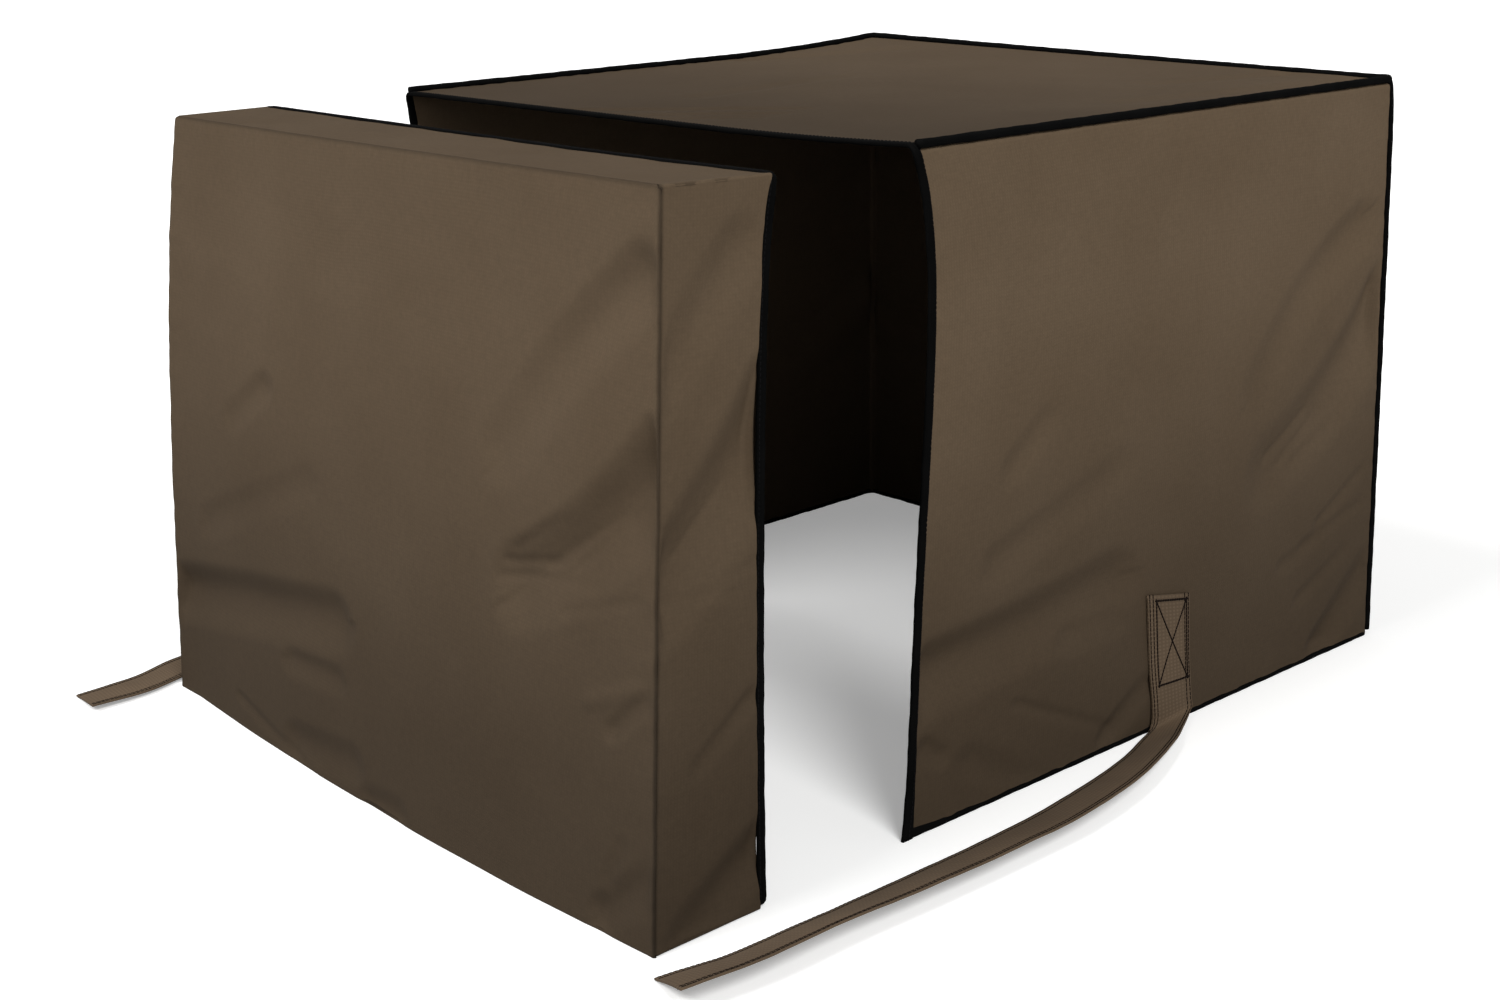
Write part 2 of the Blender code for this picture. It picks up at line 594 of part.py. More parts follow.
def make_strap(name, sign, table, webbing, collection):
    """Flat webbing: sewn to the side panel, then a free tail that lies along the floor."""
    rows = smooth_rows(np.array(table), STRAP_STEPS)
    edges = []
    for out, behind, up in (rows[:, :3].T, rows[:, 3:].T):
        y, z = behind + CAP_FRONT_Y, up + FLOOR_Z
        edges.append(np.stack([sign * (side_surface_x(y, z) + out), y, z], axis=1))
    near, far = edges
    piece, u, v = grid_points(len(rows) - 1, 2)
    place = np.round(u * (len(rows) - 1)).astype(int)
    across = (1 - v if sign > 0 else v)[:, None]
    points = near[place] + across * (far[place] - near[place])
    finish_sheet(piece, name, points.T, STRAP_THICKNESS, webbing, collection)
    piece.modifiers["thickness"].offset = 0


def main():
    clear_scene()
    collection = bpy.data.collections.new("air conditioner cover")
    bpy.context.scene.collection.children.link(collection)
    cloth = make_material("brown woven polyester", 88, 74, 61, 0.85)
    binding = make_material("black binding", 12, 11, 12, 0.6)
    webbing = make_material("brown webbing", 74, 61, 50, 0.75)

    make_front_panel(cloth, collection)
    make_cap_sides(cloth, collection)
    make_cap_top_and_bottom(cloth, collection)
    make_cap_binding(binding, collection)

    make_top_panel(cloth, collection)
    make_side_panel("rear_right_panel", 1, RIGHT_FOLDS, MOUTH_BOW_RIGHT, cloth, collection)
    make_side_panel("rear_left_panel", -1, LEFT_FOLDS, MOUTH_BOW_LEFT, cloth, collection)
    make_back_panel(cloth, collection)
    make_rear_mouth_binding(binding, collection)
    make_hem_binding(binding, collection)
    make_top_piping(binding, collection)
    make_corner_piping("rear_right_corner_piping", 1, binding, collection)
    make_corner_piping("rear_left_corner_piping", -1, binding, collection)

    make_strap("right_strap", 1, RIGHT_STRAP, webbing, collection)
    make_strap("left_strap", -1, LEFT_STRAP, webbing, collection)


main()
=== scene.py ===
# Two-piece fitted cloth cover, brown with black bindings, seen from the front right and above.
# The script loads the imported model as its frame, then dresses it: each cloth panel is a surface with its
# folds, each binding and piping a swept profile, and each strap a woven ribbon with its stitching.
# Units are metres, +Z is up, and +Y runs from the front cap to the back.

import math

import bpy
import numpy as np
from mathutils import Matrix


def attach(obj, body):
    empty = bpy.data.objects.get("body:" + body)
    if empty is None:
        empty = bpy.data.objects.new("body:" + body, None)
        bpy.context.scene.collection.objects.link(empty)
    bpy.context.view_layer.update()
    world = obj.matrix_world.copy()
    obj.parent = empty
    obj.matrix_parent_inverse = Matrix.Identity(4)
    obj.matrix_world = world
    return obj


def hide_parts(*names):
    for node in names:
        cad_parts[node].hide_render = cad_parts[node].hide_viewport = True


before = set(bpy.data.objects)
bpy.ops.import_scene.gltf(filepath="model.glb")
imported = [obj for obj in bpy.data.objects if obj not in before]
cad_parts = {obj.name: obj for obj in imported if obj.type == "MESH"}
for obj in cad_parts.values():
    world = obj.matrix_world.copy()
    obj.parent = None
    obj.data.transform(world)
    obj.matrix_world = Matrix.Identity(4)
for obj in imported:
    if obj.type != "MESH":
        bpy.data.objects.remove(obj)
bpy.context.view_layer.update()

# Camera, as the photograph was taken
camera = {
    "azimuth": 48.945,
    "elevation": 17.254,
    "roll": -1.344,
    "distance": 1.6855,
    "target": (0.0, -0.2025, -0.3191),
    "lens": 48.907,
    "shiftX": 0.02197,
    "shiftY": 0.0,
}

# The cover's main sizes
cover = {
    "width": 0.600,
    "height": 0.490,
    "capDepth": 0.087,
    "mouthDistance": 0.128,
    "rearDepth": 0.575,
    "topZ": 0.002,
    "cloth": 0.0016,
}
halfWidth = cover["width"] / 2
height = cover["height"]
topZ = cover["topZ"]
floorZ = topZ - height
mouthY = -cover["rearDepth"] / 2
backY = cover["rearDepth"] / 2
capMouthY = mouthY - cover["mouthDistance"]
capFrontY = capMouthY - cover["capDepth"]

# How the cloth leans, bows and flares
lean = {
    "capFront": 0.030,
    "capFrontBow": 0.011,
    "capMouth": 0.0175,
    "capLeftFlare": 0.0345,
    "capRightFlare": 0.006,
    "rearMouth": 0.010,
    "mouthFlare": 0.004,
    "backFlare": 0.010,
    "rearBack": 0.009,
    "bowRight": 0.0175,
    "bowLeft": 0.009,
    "bowHeight": 0.24,
    "belly": 0.004,
    "capMouthCorner": 0.0085,
    "capFrontCorner": 0.003,
    "rearMouthCorner": 0.0045,
    "rearBackCorner": 0.008,
    "hemCorner": 0.005,
}

trim = {
    "bindingWidth": 0.007,
    "hemWidth": 0.0045,
    "bindingThickness": 0.0031,
    "bindingProud": 0.0005,
    "bindingCorner": 0.008,
    "pipingRadius": 0.0031,
    "pipingInset": 0.0015,
    "pipingCorner": 0.005,
    "strapThickness": 0.0015,
    "strapWidth": 0.050,
    "pathSpacing": 0.004,
}


# Puts the camera at its azimuth and elevation round the target, looking at it.
def setCamera():
    azimuth, elevation, roll = (
        math.radians(camera[key]) for key in ("azimuth", "elevation", "roll")
    )
    back = np.array(
        [
            math.sin(azimuth) * math.cos(elevation),
            -math.cos(azimuth) * math.cos(elevation),
            math.sin(elevation),
        ]
    )
    right = np.cross(-back, [0, 0, 1])
    right /= np.linalg.norm(right)
    up = np.cross(right, -back)
    turnedRight = math.cos(roll) * right + math.sin(roll) * up
    turnedUp = -math.sin(roll) * right + math.cos(roll) * up
    place = np.array(camera["target"]) + back * camera["distance"]
    matrix = np.eye(4)
    matrix[:3, 0], matrix[:3, 1], matrix[:3, 2], matrix[:3, 3] = turnedRight, turnedUp, back, place
    data = bpy.data.cameras.new("camera")
    data.lens = camera["lens"]
    data.sensor_width = 36
    data.shift_x = camera["shiftX"]
    data.shift_y = camera["shiftY"]
    data.clip_end = 50
    eye = bpy.data.objects.new("camera", data)
    bpy.context.scene.collection.objects.link(eye)
    eye.matrix_world = Matrix(matrix.tolist())
    bpy.context.scene.camera = eye


setCamera()
print("camera set")


# Materials


# An sRGB hex colour as linear red, green, blue and alpha.
def linear(hexColour, alpha=1.0):
    channels = [int(hexColour[i : i + 2], 16) / 255 for i in (1, 3, 5)]
    return [c / 12.92 if c <= 0.04045 else ((c + 0.055) / 1.055) ** 2.4 for c in channels] + [alpha]


# Sets a node's properties and socket values and links its sockets from other nodes. A socket goes by
# its name or its number.
def setNode(tree, node, settings=None, inputs=None, links=None):
    for name, value in (settings or {}).items():
        setattr(node, name, value)
    for key, value in (inputs or {}).items():
        node.inputs[key].default_value = value
    for key, (source, output) in (links or {}).items():
        tree.links.new(source.outputs[output], node.inputs[key])
    return node


# Adds a node and sets it. Stops are a colour ramp's places and colours.
def addNode(tree, kind, settings=None, inputs=None, links=None, stops=()):
    node = tree.nodes.new(kind)
    if stops:
        elements = node.color_ramp.elements
        while len(elements) < len(stops):
            elements.new(0.5)
        for element, (position, colour) in zip(elements, stops):
            element.position = position
            element.color = colour
    return setNode(tree, node, settings, inputs, links)


# A new material with its node tree and its main shader.
def newMaterial(name):
    material = bpy.data.materials.new(name)
    material.use_nodes = True
    return material, material.node_tree, material.node_tree.nodes["Principled BSDF"]


def grey(value):
    return [value] * 3 + [1]


def scaled(colour, factor):
    return [c * factor for c in colour[:3]] + [1]


# A wave texture's scale for half waves of this length in metres.
def waveScale(halfWave):
    return math.pi / 20 / halfWave


multiply = {"data_type": "RGBA", "blend_type": "MULTIPLY"}


# Plain-woven cloth: crossed threads from the cloth's own UV in metres, with uneven dye and wear, matt.
def clothMaterial(name, colour, darker, lighter, threadPitch, depth, roughness, sheen):
    material, tree, shader = newMaterial(name)
    place = addNode(tree, "ShaderNodeUVMap", {"uv_map": "cloth"})
    body = addNode(tree, "ShaderNodeTexCoord")
    # painted light and shade carried by each piece: darker towards the bottom, in seam grooves and on
    # faces made darker, lighter on faces made lighter
    paintedShadingNode = addNode(tree, "ShaderNodeAttribute", {"attribute_name": "paintedShading"})
    onBody = {"Vector": (body, "Object")}
    bands = {"Scale": waveScale(threadPitch), "Distortion": 0.6, "Detail": 2.0, "Detail Scale": 1.5}
    warp, weft = (
        addNode(
            tree, "ShaderNodeTexWave", {"bands_direction": direction}, bands, {"Vector": (place, "UV")}
        )
        for direction in ("X", "Y")
    )
    weave = addNode(
        tree, "ShaderNodeMath", {"operation": "MULTIPLY"}, links={0: (warp, "Fac"), 1: (weft, "Fac")}
    )
    cloud = addNode(
        tree, "ShaderNodeTexNoise", {}, {"Scale": 7.0, "Detail": 4.0, "Roughness": 0.55}, onBody
    )
    slub = addNode(
        tree, "ShaderNodeTexNoise", {}, {"Scale": 260.0, "Detail": 3.0, "Roughness": 0.6}, onBody
    )
    mixed = addNode(
        tree,
        "ShaderNodeValToRGB",
        links={"Fac": (cloud, "Fac")},
        stops=((0.32, darker), (0.5, colour), (0.7, lighter)),
    )
    output = "Color"
    for source, socket, stops in (
        (weave, "Value", ((0.0, grey(0.97)), (1.0, grey(1.03)))),
        (slub, "Fac", ((0.25, grey(0.93)), (0.75, grey(1.07)))),
        (paintedShadingNode, "Color", None),
    ):
        if stops:
            source = addNode(tree, "ShaderNodeValToRGB", links={"Fac": (source, socket)}, stops=stops)
        mixed = addNode(
            tree, "ShaderNodeMix", multiply, {0: 1.0}, {6: (mixed, output), 7: (source, "Color")}
        )
        output = 2
    rough = addNode(
        tree,
        "ShaderNodeMapRange",
        inputs={"To Min": roughness - 0.06, "To Max": roughness + 0.06},
        links={"Value": (cloud, "Fac")},
    )
    threadBump = addNode(
        tree,
        "ShaderNodeBump",
        inputs={"Strength": 0.14, "Distance": depth},
        links={"Height": (weave, "Value")},
    )
    fibreBump = addNode(
        tree,
        "ShaderNodeBump",
        inputs={"Strength": 0.20, "Distance": depth},
        links={"Height": (slub, "Fac"), "Normal": (threadBump, "Normal")},
    )
    setNode(
        tree,
        shader,
        inputs={
            "Specular IOR Level": 0.15,
            "Sheen Weight": sheen,
            "Sheen Roughness": 0.45,
            "Sheen Tint": lighter,
        },
        links={
            "Base Color": (mixed, 2),
            "Roughness": (rough, "Result"),
            "Normal": (fibreBump, "Normal"),
        },
    )
    return material


# Polyester webbing: ribs across its length and wales along it, dull, with painted shade between the ribs
# and each rib's crown left lighter.
def webbingMaterial(name, colour, dark):
    material, tree, shader = newMaterial(name)
    place = addNode(tree, "ShaderNodeUVMap", {"uv_map": "cloth"})
    body = addNode(tree, "ShaderNodeTexCoord")
    # drawn at 1.6 mm, coarser than the real ribs of about 1 mm, which the picture can't hold
    ribs = addNode(
        tree,
        "ShaderNodeTexWave",
        {"bands_direction": "X"},
        {"Scale": waveScale(0.0016), "Distortion": 0.4, "Detail": 1.0},
        {"Vector": (place, "UV")},
    )
    wales = addNode(
        tree,
        "ShaderNodeTexWave",
        {"bands_direction": "Y"},
        {"Scale": waveScale(0.0022), "Distortion": 0.3},
        {"Vector": (place, "UV")},
    )
    weave = addNode(
        tree, "ShaderNodeMath", {"operation": "MULTIPLY"}, links={0: (ribs, "Fac"), 1: (wales, "Fac")}
    )
    cloud = addNode(
        tree, "ShaderNodeTexNoise", {}, {"Scale": 18.0, "Detail": 3.0}, {"Vector": (body, "Object")}
    )
    # painted shade in the grooves between the ribs, lighter on their crowns
    shade = addNode(
        tree, "ShaderNodeValToRGB", links={"Fac": (weave, "Value")}, stops=((0.0, dark), (0.8, colour))
    )
    patch = addNode(
        tree,
        "ShaderNodeValToRGB",
        links={"Fac": (cloud, "Fac")},
        stops=((0.3, grey(0.9)), (0.7, grey(1.08))),
    )
    worn = addNode(
        tree, "ShaderNodeMix", multiply, {0: 1.0}, {6: (shade, "Color"), 7: (patch, "Color")}
    )
    bump = addNode(
        tree,
        "ShaderNodeBump",
        inputs={"Strength": 0.3, "Distance": 0.0003},
        links={"Height": (weave, "Value")},
    )
    setNode(
        tree,
        shader,
        inputs={"Roughness": 0.8, "Specular IOR Level": 0.12, "Sheen Weight": 0.02},
        links={"Base Color": (worn, 2), "Normal": (bump, "Normal")},
    )
    return material


# Narrow black tape, with a fine grain of fibres and a little dust, which keep it from looking painted.
def tapeMaterial(name, colour, roughness):
    material, tree, shader = newMaterial(name)
    body = addNode(tree, "ShaderNodeTexCoord")
    fibre, dust = (
        addNode(tree, "ShaderNodeTexNoise", {}, noise, {"Vector": (body, "Object")})
        for noise in ({"Scale": 420.0, "Detail": 3.0}, {"Scale": 30.0, "Detail": 4.0})
    )
    tint = addNode(
        tree,
        "ShaderNodeValToRGB",
        links={"Fac": (dust, "Fac")},
        stops=((0.35, colour), (0.8, scaled(colour, 1.7))),
    )
    bump = addNode(
        tree,
        "ShaderNodeBump",
        inputs={"Strength": 0.4, "Distance": 0.0002},
        links={"Height": (fibre, "Fac")},
    )
    setNode(
        tree,
        shader,
        inputs={"Roughness": roughness, "Specular IOR Level": 0.04},
        links={"Base Color": (tint, "Color"), "Normal": (bump, "Normal")},
    )
    return material


# Twisted polyester sewing thread: darker between its twists, with a dull shine.
def threadMaterial(name, colour):
    material, tree, shader = newMaterial(name)
    body = addNode(tree, "ShaderNodeTexCoord")
    twist = addNode(
        tree, "ShaderNodeTexNoise", {}, {"Scale": 900.0, "Detail": 2.0}, {"Vector": (body, "Object")}
    )
    tint = addNode(
        tree,
        "ShaderNodeValToRGB",
        links={"Fac": (twist, "Fac")},
        stops=((0.3, scaled(colour, 0.7)), (0.7, colour)),
    )
    setNode(
        tree,
        shader,
        inputs={"Roughness": 0.8, "Specular IOR Level": 0.1},
        links={"Base Color": (tint, "Color")},
    )
    return material


# drawn at 1.3 mm a thread, coarser than the real weave of about 0.6 mm, which the picture can't hold
brownCloth = clothMaterial(
    "brown woven polyester",
    linear("#5C4D3C"),
    linear("#594A39"),
    linear("#5F503F"),
    0.0013,
    0.00025,
    0.84,
    0.03,
)
webbing = webbingMaterial("brown polyester webbing", linear("#665645"), linear("#5A4B3B"))
blackTape = tapeMaterial("black bias binding", linear("#060606"), 0.85)
blackPiping = tapeMaterial("black piping", linear("#060606"), 0.8)
brownThread = threadMaterial("dark brown sewing thread", linear("#150D09"))
blackThread = threadMaterial("black sewing thread", linear("#121113"))
print("materials made")


# The cover's shape, the same as its solids


# 0 at the cover's top, 1 at its bottom edge.
def lowness(z):
    return np.clip((topZ - z) / height, 0, 1)


def rightness(x, start):
    return np.clip((x - start) / (halfWidth - start), 0, 1)


# The cap's face leans forward at the bottom, more in the middle of its width.
def capFront(x, z):
    low = lowness(z)
    middle = np.clip(1 - (x / halfWidth) ** 2, 0, 1)
    return capFrontY - lean["capFront"] * low - lean["capFrontBow"] * low**2 * middle


# The cap's open edge leans forward too, and its top right corner reaches back.
def capMouth(x, z):
    low = lowness(z)
    corner = lean["capMouthCorner"] * rightness(x, 0.1) ** 2 * np.exp(-low / 0.08)
    return capMouthY - lean["capMouth"] * (1 - (1 - low) ** 1.6) + corner


def capLeft(z):
    return -halfWidth - lean["capLeftFlare"] * (1 - (1 - lowness(z)) ** 4)


def capRight(z):
    return halfWidth + lean["capRightFlare"] * lowness(z)


# The mouth's side edge bows back below the top corner and leans forward at the bottom.
def rearMouth(z, bow):
    low = lowness(z)
    forward = lean["rearMouth"] * low + lean["hemCorner"] * np.exp((low - 1) / 0.06)
    down = low / lean["bowHeight"]
    return mouthY - forward + bow * down * np.exp(1 - down)


def rearBack(z):
    return backY + lean["rearBack"] * lowness(z) ** 0.7


# Half width of the rear cover: it flares towards its bottom, more at the back.
def sideX(y, z):
    along = (y - mouthY) / cover["rearDepth"]
    flare = lean["mouthFlare"] + (lean["backFlare"] - lean["mouthFlare"]) * along
    return halfWidth + flare * (topZ - z) / height


def belly(u, v):
    return lean["belly"] * np.sin(math.pi * u) * np.sin(math.pi * v)


# Outer face of a side panel without its folds.
def sideSurface(y, z):
    u = np.clip((y - mouthY) / cover["rearDepth"], 0, 1)
    v = np.clip((z - floorZ) / height, 0, 1)
    return sideX(y, z) + belly(u, v)


# How far the rear cover's top stands up at two of its corners.
def topRise(x, y):
    left = np.clip((halfWidth - x) / cover["width"], 0, 1) ** 1.3
    behind = np.clip((y - mouthY) / cover["rearDepth"], 0, 1)
    back = lean["rearBackCorner"] * left * np.clip((behind - 0.6) / 0.4, 0, 1) ** 2.2
    return back + lean["rearMouthCorner"] * rightness(x, 0.1) ** 2 * (1 - behind)


# Folds and small unevenness


# A smooth hump: 1 at 0, level and exactly 0 from 1 on.
def hump(distance):
    return (1 - np.clip(np.abs(distance), 0, 1) ** 2) ** 2


# How far the folds press the cloth in.
# Each row is a trough from one point to another: across, up, to across, to up, sideways bow, depth,
# half width above, half width below, and the strength left at its end. Its depth is the hump of the
# distance from the line over the half width on that side, so the steeper wall is the narrower one, and
# both ends run out over a little more than that width.
def foldDepth(folds, across, up):
    total = np.zeros_like(across)
    for x0, z0, x1, z1, bow, depth, above, below, fade in folds:
        run = np.array([x1 - x0, z1 - z0])
        length = math.hypot(*run)
        run = run / length
        along = ((across - x0) * run[0] + (up - z0) * run[1]) / length
        side = (up - z0) * run[0] - (across - x0) * run[1]
        if run[0] < 0:
            side = -side
        inside = np.clip(along, 0, 1)
        side = side + bow * 4 * inside * (1 - inside)
        width = np.where(side > 0, above, below)
        beyond = (along - inside) * length / (1.2 * width)
        strength = 1 + (fade - 1) * inside
        total += depth * strength * hump(np.hypot(side / width, beyond))
    return total


# Smooth unevenness between -1 and 1: a sum of waves in random directions, from long to short.
def ripple(across, up, seed, longest, shortest, count):
    random = np.random.default_rng(seed)
    total = np.zeros_like(across)
    weight = 0.0
    for index in range(count):
        length = longest * (shortest / longest) ** (index / max(count - 1, 1))
        angle, phase = random.uniform(0, math.pi), random.uniform(0, 2 * math.pi)
        bend = 0.6 * np.sin(2 * math.pi * (across * 1.3 + up) / (longest * 1.9) + phase)
        wave = (across * math.cos(angle) + up * math.sin(angle)) * 2 * math.pi / length
        total += (length / longest) ** 0.8 * np.sin(wave + phase + bend)
        weight += (length / longest) ** 0.8
    return total / weight


def smoothStep(t):
    t = np.clip(t, 0, 1)
    return t * t * (3 - 2 * t)


# Painted shade: the cloth's colour is made fuller and darker towards the hem, in place of light that falls
# off downwards.
def paintedDownwardShade(z):
    return 0.50 + 0.56 * smoothStep(((z - floorZ) / height - 0.02) / 0.85)


# 1 at a seam, 0 from reach on.
def nearEdge(distance, reach):
    return 1 - smoothStep(distance / reach)


# How far a surface falls away at a distance from its rounded edge.
def rounding(distance, radius):
    inside = np.clip(radius - distance, 0, radius)
    return radius - np.sqrt(np.clip(radius**2 - inside**2, 0, None))


# Columns: across, up, to across, to up, bow, depth, half width above, half width below, end strength.
# On the cap's front, across runs from its middle. On the gussets and sides it is the distance behind
# the cap's front. On the back it runs from the middle, and on the top, up is the distance behind.
frontFolds = (
    (0.306, 0.328, 0.168, 0.220, 0.009, 0.0150, 0.034, 0.040, 0.60),
    (0.282, 0.436, 0.145, 0.306, -0.006, 0.0070, 0.026, 0.032, 0.45),
    (-0.350, 0.086, -0.072, 0.131, -0.002, 0.0100, 0.028, 0.034, 0.75),
    (-0.132, 0.083, -0.066, 0.086, 0.000, 0.0032, 0.014, 0.018, 0.80),
    (-0.173, 0.292, -0.223, 0.260, 0.000, 0.0028, 0.016, 0.018, 0.60),
    (-0.268, 0.165, -0.110, 0.230, 0.000, 0.0022, 0.018, 0.022, 0.60),
    (-0.222, 0.026, -0.094, -0.002, 0.000, 0.0016, 0.006, 0.009, 0.60),
    (-0.125, 0.018, -0.043, 0.026, 0.000, 0.0040, 0.020, 0.022, 0.80),
    (-0.014, 0.004, 0.020, 0.008, 0.000, 0.0030, 0.016, 0.018, 0.80),
    (0.148, 0.229, 0.195, 0.237, 0.000, 0.0012, 0.006, 0.006, 0.60),
    (0.143, 0.218, 0.250, 0.234, 0.000, 0.0009, 0.006, 0.007, 0.40),
    (0.210, 0.209, 0.288, 0.236, 0.000, 0.0010, 0.006, 0.007, 0.50),
    (0.159, 0.241, 0.207, 0.271, 0.000, 0.0011, 0.006, 0.007, 0.50),
    (0.187, 0.234, 0.258, 0.282, 0.000, 0.0011, 0.006, 0.007, 0.50),
    (0.218, 0.240, 0.278, 0.290, 0.000, 0.0009, 0.006, 0.007, 0.50),
    (0.263, 0.144, 0.299, 0.175, 0.000, 0.0030, 0.010, 0.012, 0.60),
    (0.241, 0.158, 0.289, 0.179, 0.000, -0.0015, 0.008, 0.010, 0.60),
    (0.256, 0.015, 0.303, 0.055, 0.000, 0.0045, 0.016, 0.020, 0.60),
    (0.260, 0.040, 0.273, 0.067, 0.000, 0.0018, 0.008, 0.010, 0.70),
)
capRightFolds = (
    (0.090, 0.350, -0.008, 0.244, 0.006, 0.0125, 0.038, 0.040, 0.85),
    (0.060, 0.447, -0.004, 0.374, 0.000, 0.0045, 0.024, 0.026, 0.60),
    (0.066, 0.046, 0.006, 0.008, 0.000, 0.0070, 0.026, 0.026, 0.70),
    (0.060, 0.154, 0.015, 0.121, 0.000, 0.0026, 0.010, 0.012, 0.70),
    (0.020, 0.232, 0.068, 0.247, 0.000, 0.0010, 0.006, 0.007, 0.60),
    (-0.009, 0.233, 0.053, 0.230, 0.000, 0.0010, 0.006, 0.007, 0.60),
    (0.010, 0.262, 0.050, 0.300, 0.000, 0.0010, 0.006, 0.007, 0.60),
)
capLeftFolds = (
    (0.000, 0.100, 0.090, 0.150, 0.000, 0.0060, 0.024, 0.034, 0.50),
    (0.090, 0.360, 0.010, 0.280, 0.000, 0.0060, 0.026, 0.034, 0.50),
)
rightFolds = (
    (0.788, 0.302, 0.636, 0.192, 0.013, 0.0130, 0.040, 0.042, 0.55),
    (0.749, 0.372, 0.610, 0.263, -0.012, 0.0060, 0.026, 0.034, 0.45),
    (0.205, 0.118, 0.428, 0.141, 0.003, 0.0120, 0.032, 0.038, 0.60),
    (0.383, 0.107, 0.436, 0.108, 0.000, 0.0028, 0.014, 0.018, 0.70),
    (0.303, 0.188, 0.434, 0.231, 0.000, 0.0032, 0.020, 0.024, 0.60),
    (0.316, 0.256, 0.349, 0.282, 0.000, 0.0028, 0.016, 0.018, 0.70),
    (0.325, 0.072, 0.437, 0.019, 0.000, 0.0016, 0.006, 0.009, 0.60),
    (0.709, 0.125, 0.770, 0.157, 0.000, 0.0022, 0.008, 0.010, 0.60),
    (0.689, 0.110, 0.770, 0.128, 0.000, 0.0018, 0.008, 0.010, 0.60),
    (0.634, 0.198, 0.689, 0.226, 0.000, 0.0014, 0.007, 0.008, 0.60),
    (0.669, 0.184, 0.731, 0.211, 0.000, 0.0014, 0.007, 0.008, 0.60),
    (0.650, 0.186, 0.712, 0.222, 0.000, 0.0012, 0.006, 0.008, 0.60),
    (0.658, 0.099, 0.707, 0.110, 0.000, 0.0018, 0.010, 0.012, 0.60),
    (0.724, 0.010, 0.786, 0.062, 0.000, 0.0080, 0.026, 0.026, 0.60),
    (0.685, 0.062, 0.750, 0.090, 0.000, 0.0020, 0.010, 0.012, 0.60),
    (0.228, 0.065, 0.241, 0.056, 0.000, 0.0030, 0.012, 0.014, 1.00),
    (0.430, 0.013, 0.474, 0.042, 0.000, 0.0036, 0.014, 0.018, 0.60),
    (0.276, 0.041, 0.338, 0.006, 0.000, 0.0026, 0.018, 0.020, 0.60),
)
leftFolds = (
    (0.795, 0.240, 0.610, 0.150, 0.012, 0.0105, 0.026, 0.040, 0.30),
    (0.215, 0.330, 0.400, 0.245, -0.008, 0.0090, 0.030, 0.036, 0.35),
    (0.215, 0.090, 0.390, 0.130, 0.004, 0.0095, 0.026, 0.034, 0.45),
    (0.790, 0.420, 0.690, 0.330, 0.006, 0.0040, 0.018, 0.022, 0.30),
    (0.560, 0.250, 0.640, 0.205, 0.000, 0.0025, 0.014, 0.018, 0.50),
)
backFolds = (
    (0.300, 0.300, 0.120, 0.190, 0.010, 0.0110, 0.026, 0.040, 0.30),
    (-0.300, 0.210, -0.110, 0.130, -0.008, 0.0105, 0.028, 0.040, 0.35),
    (-0.300, 0.385, -0.160, 0.330, 0.000, 0.0060, 0.026, 0.030, 0.40),
    (0.290, 0.080, 0.170, 0.020, 0.000, 0.0040, 0.018, 0.024, 0.40),
    (0.030, 0.120, 0.090, 0.080, 0.000, 0.0025, 0.014, 0.018, 0.50),
)
topFolds = (
    (-0.082, 0.222, 0.058, 0.345, 0.000, 0.0042, 0.009, 0.012, 0.50),
    (-0.032, 0.212, 0.070, 0.312, 0.000, 0.0036, 0.008, 0.010, 0.60),
    (0.002, 0.208, 0.076, 0.285, 0.000, 0.0024, 0.008, 0.009, 0.60),
    (-0.072, 0.355, -0.088, 0.545, 0.000, 0.0020, 0.018, 0.020, 0.50),
    (0.275, 0.785, 0.232, 0.520, 0.008, 0.0035, 0.022, 0.026, 0.40),
    (0.205, 0.790, 0.170, 0.640, 0.004, 0.0030, 0.020, 0.020, 0.40),
    (-0.290, 0.600, -0.215, 0.740, 0.000, 0.0035, 0.024, 0.024, 0.50),
)


# Meshes


# A mesh object. uv has a row for each corner of each face; sharp is pairs of vertices.
def addObject(name, vertices, faces, material, uv=None, sharp=None, paintedShading=None):
    mesh = bpy.data.meshes.new(name)
    mesh.from_pydata(np.asarray(vertices).tolist(), [], [list(map(int, f)) for f in faces])
    mesh.polygons.foreach_set("use_smooth", [True] * len(mesh.polygons))
    if uv is not None:
        layer = mesh.uv_layers.new(name="cloth")
        layer.data.foreach_set("uv", np.asarray(uv, dtype=np.float32).ravel())
    if sharp is not None:
        ends = np.empty(len(mesh.edges) * 2, dtype=np.int64)
        mesh.edges.foreach_get("vertices", ends)
        ends = np.sort(ends.reshape(-1, 2), axis=1)
        wanted = np.sort(np.asarray(sharp), axis=1)
        size = len(mesh.vertices)
        marks = np.isin(ends[:, 0] * size + ends[:, 1], wanted[:, 0] * size + wanted[:, 1])
        mesh.edges.foreach_set("use_edge_sharp", marks)
    # paintedShading is each vertex's painted light and shade, multiplied into the cloth's colour
    if paintedShading is not None:
        shades = mesh.attributes.new("paintedShading", "FLOAT", "POINT")
        shades.data.foreach_set("value", np.asarray(paintedShading, dtype=np.float32).ravel())
    mesh.materials.append(material)
    mesh.update()
    piece = bpy.data.objects.new(name, mesh)
    bpy.context.scene.collection.objects.link(piece)
    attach(piece, "root")
    return piece


# Unit normals of a grid of points: the cross product of its two directions.
def gridNormals(points):
    across = np.gradient(points, axis=1)
    up = np.gradient(points, axis=0)
    normal = np.cross(across, up)
    return normal / np.maximum(np.linalg.norm(normal, axis=2, keepdims=True), 1e-12)


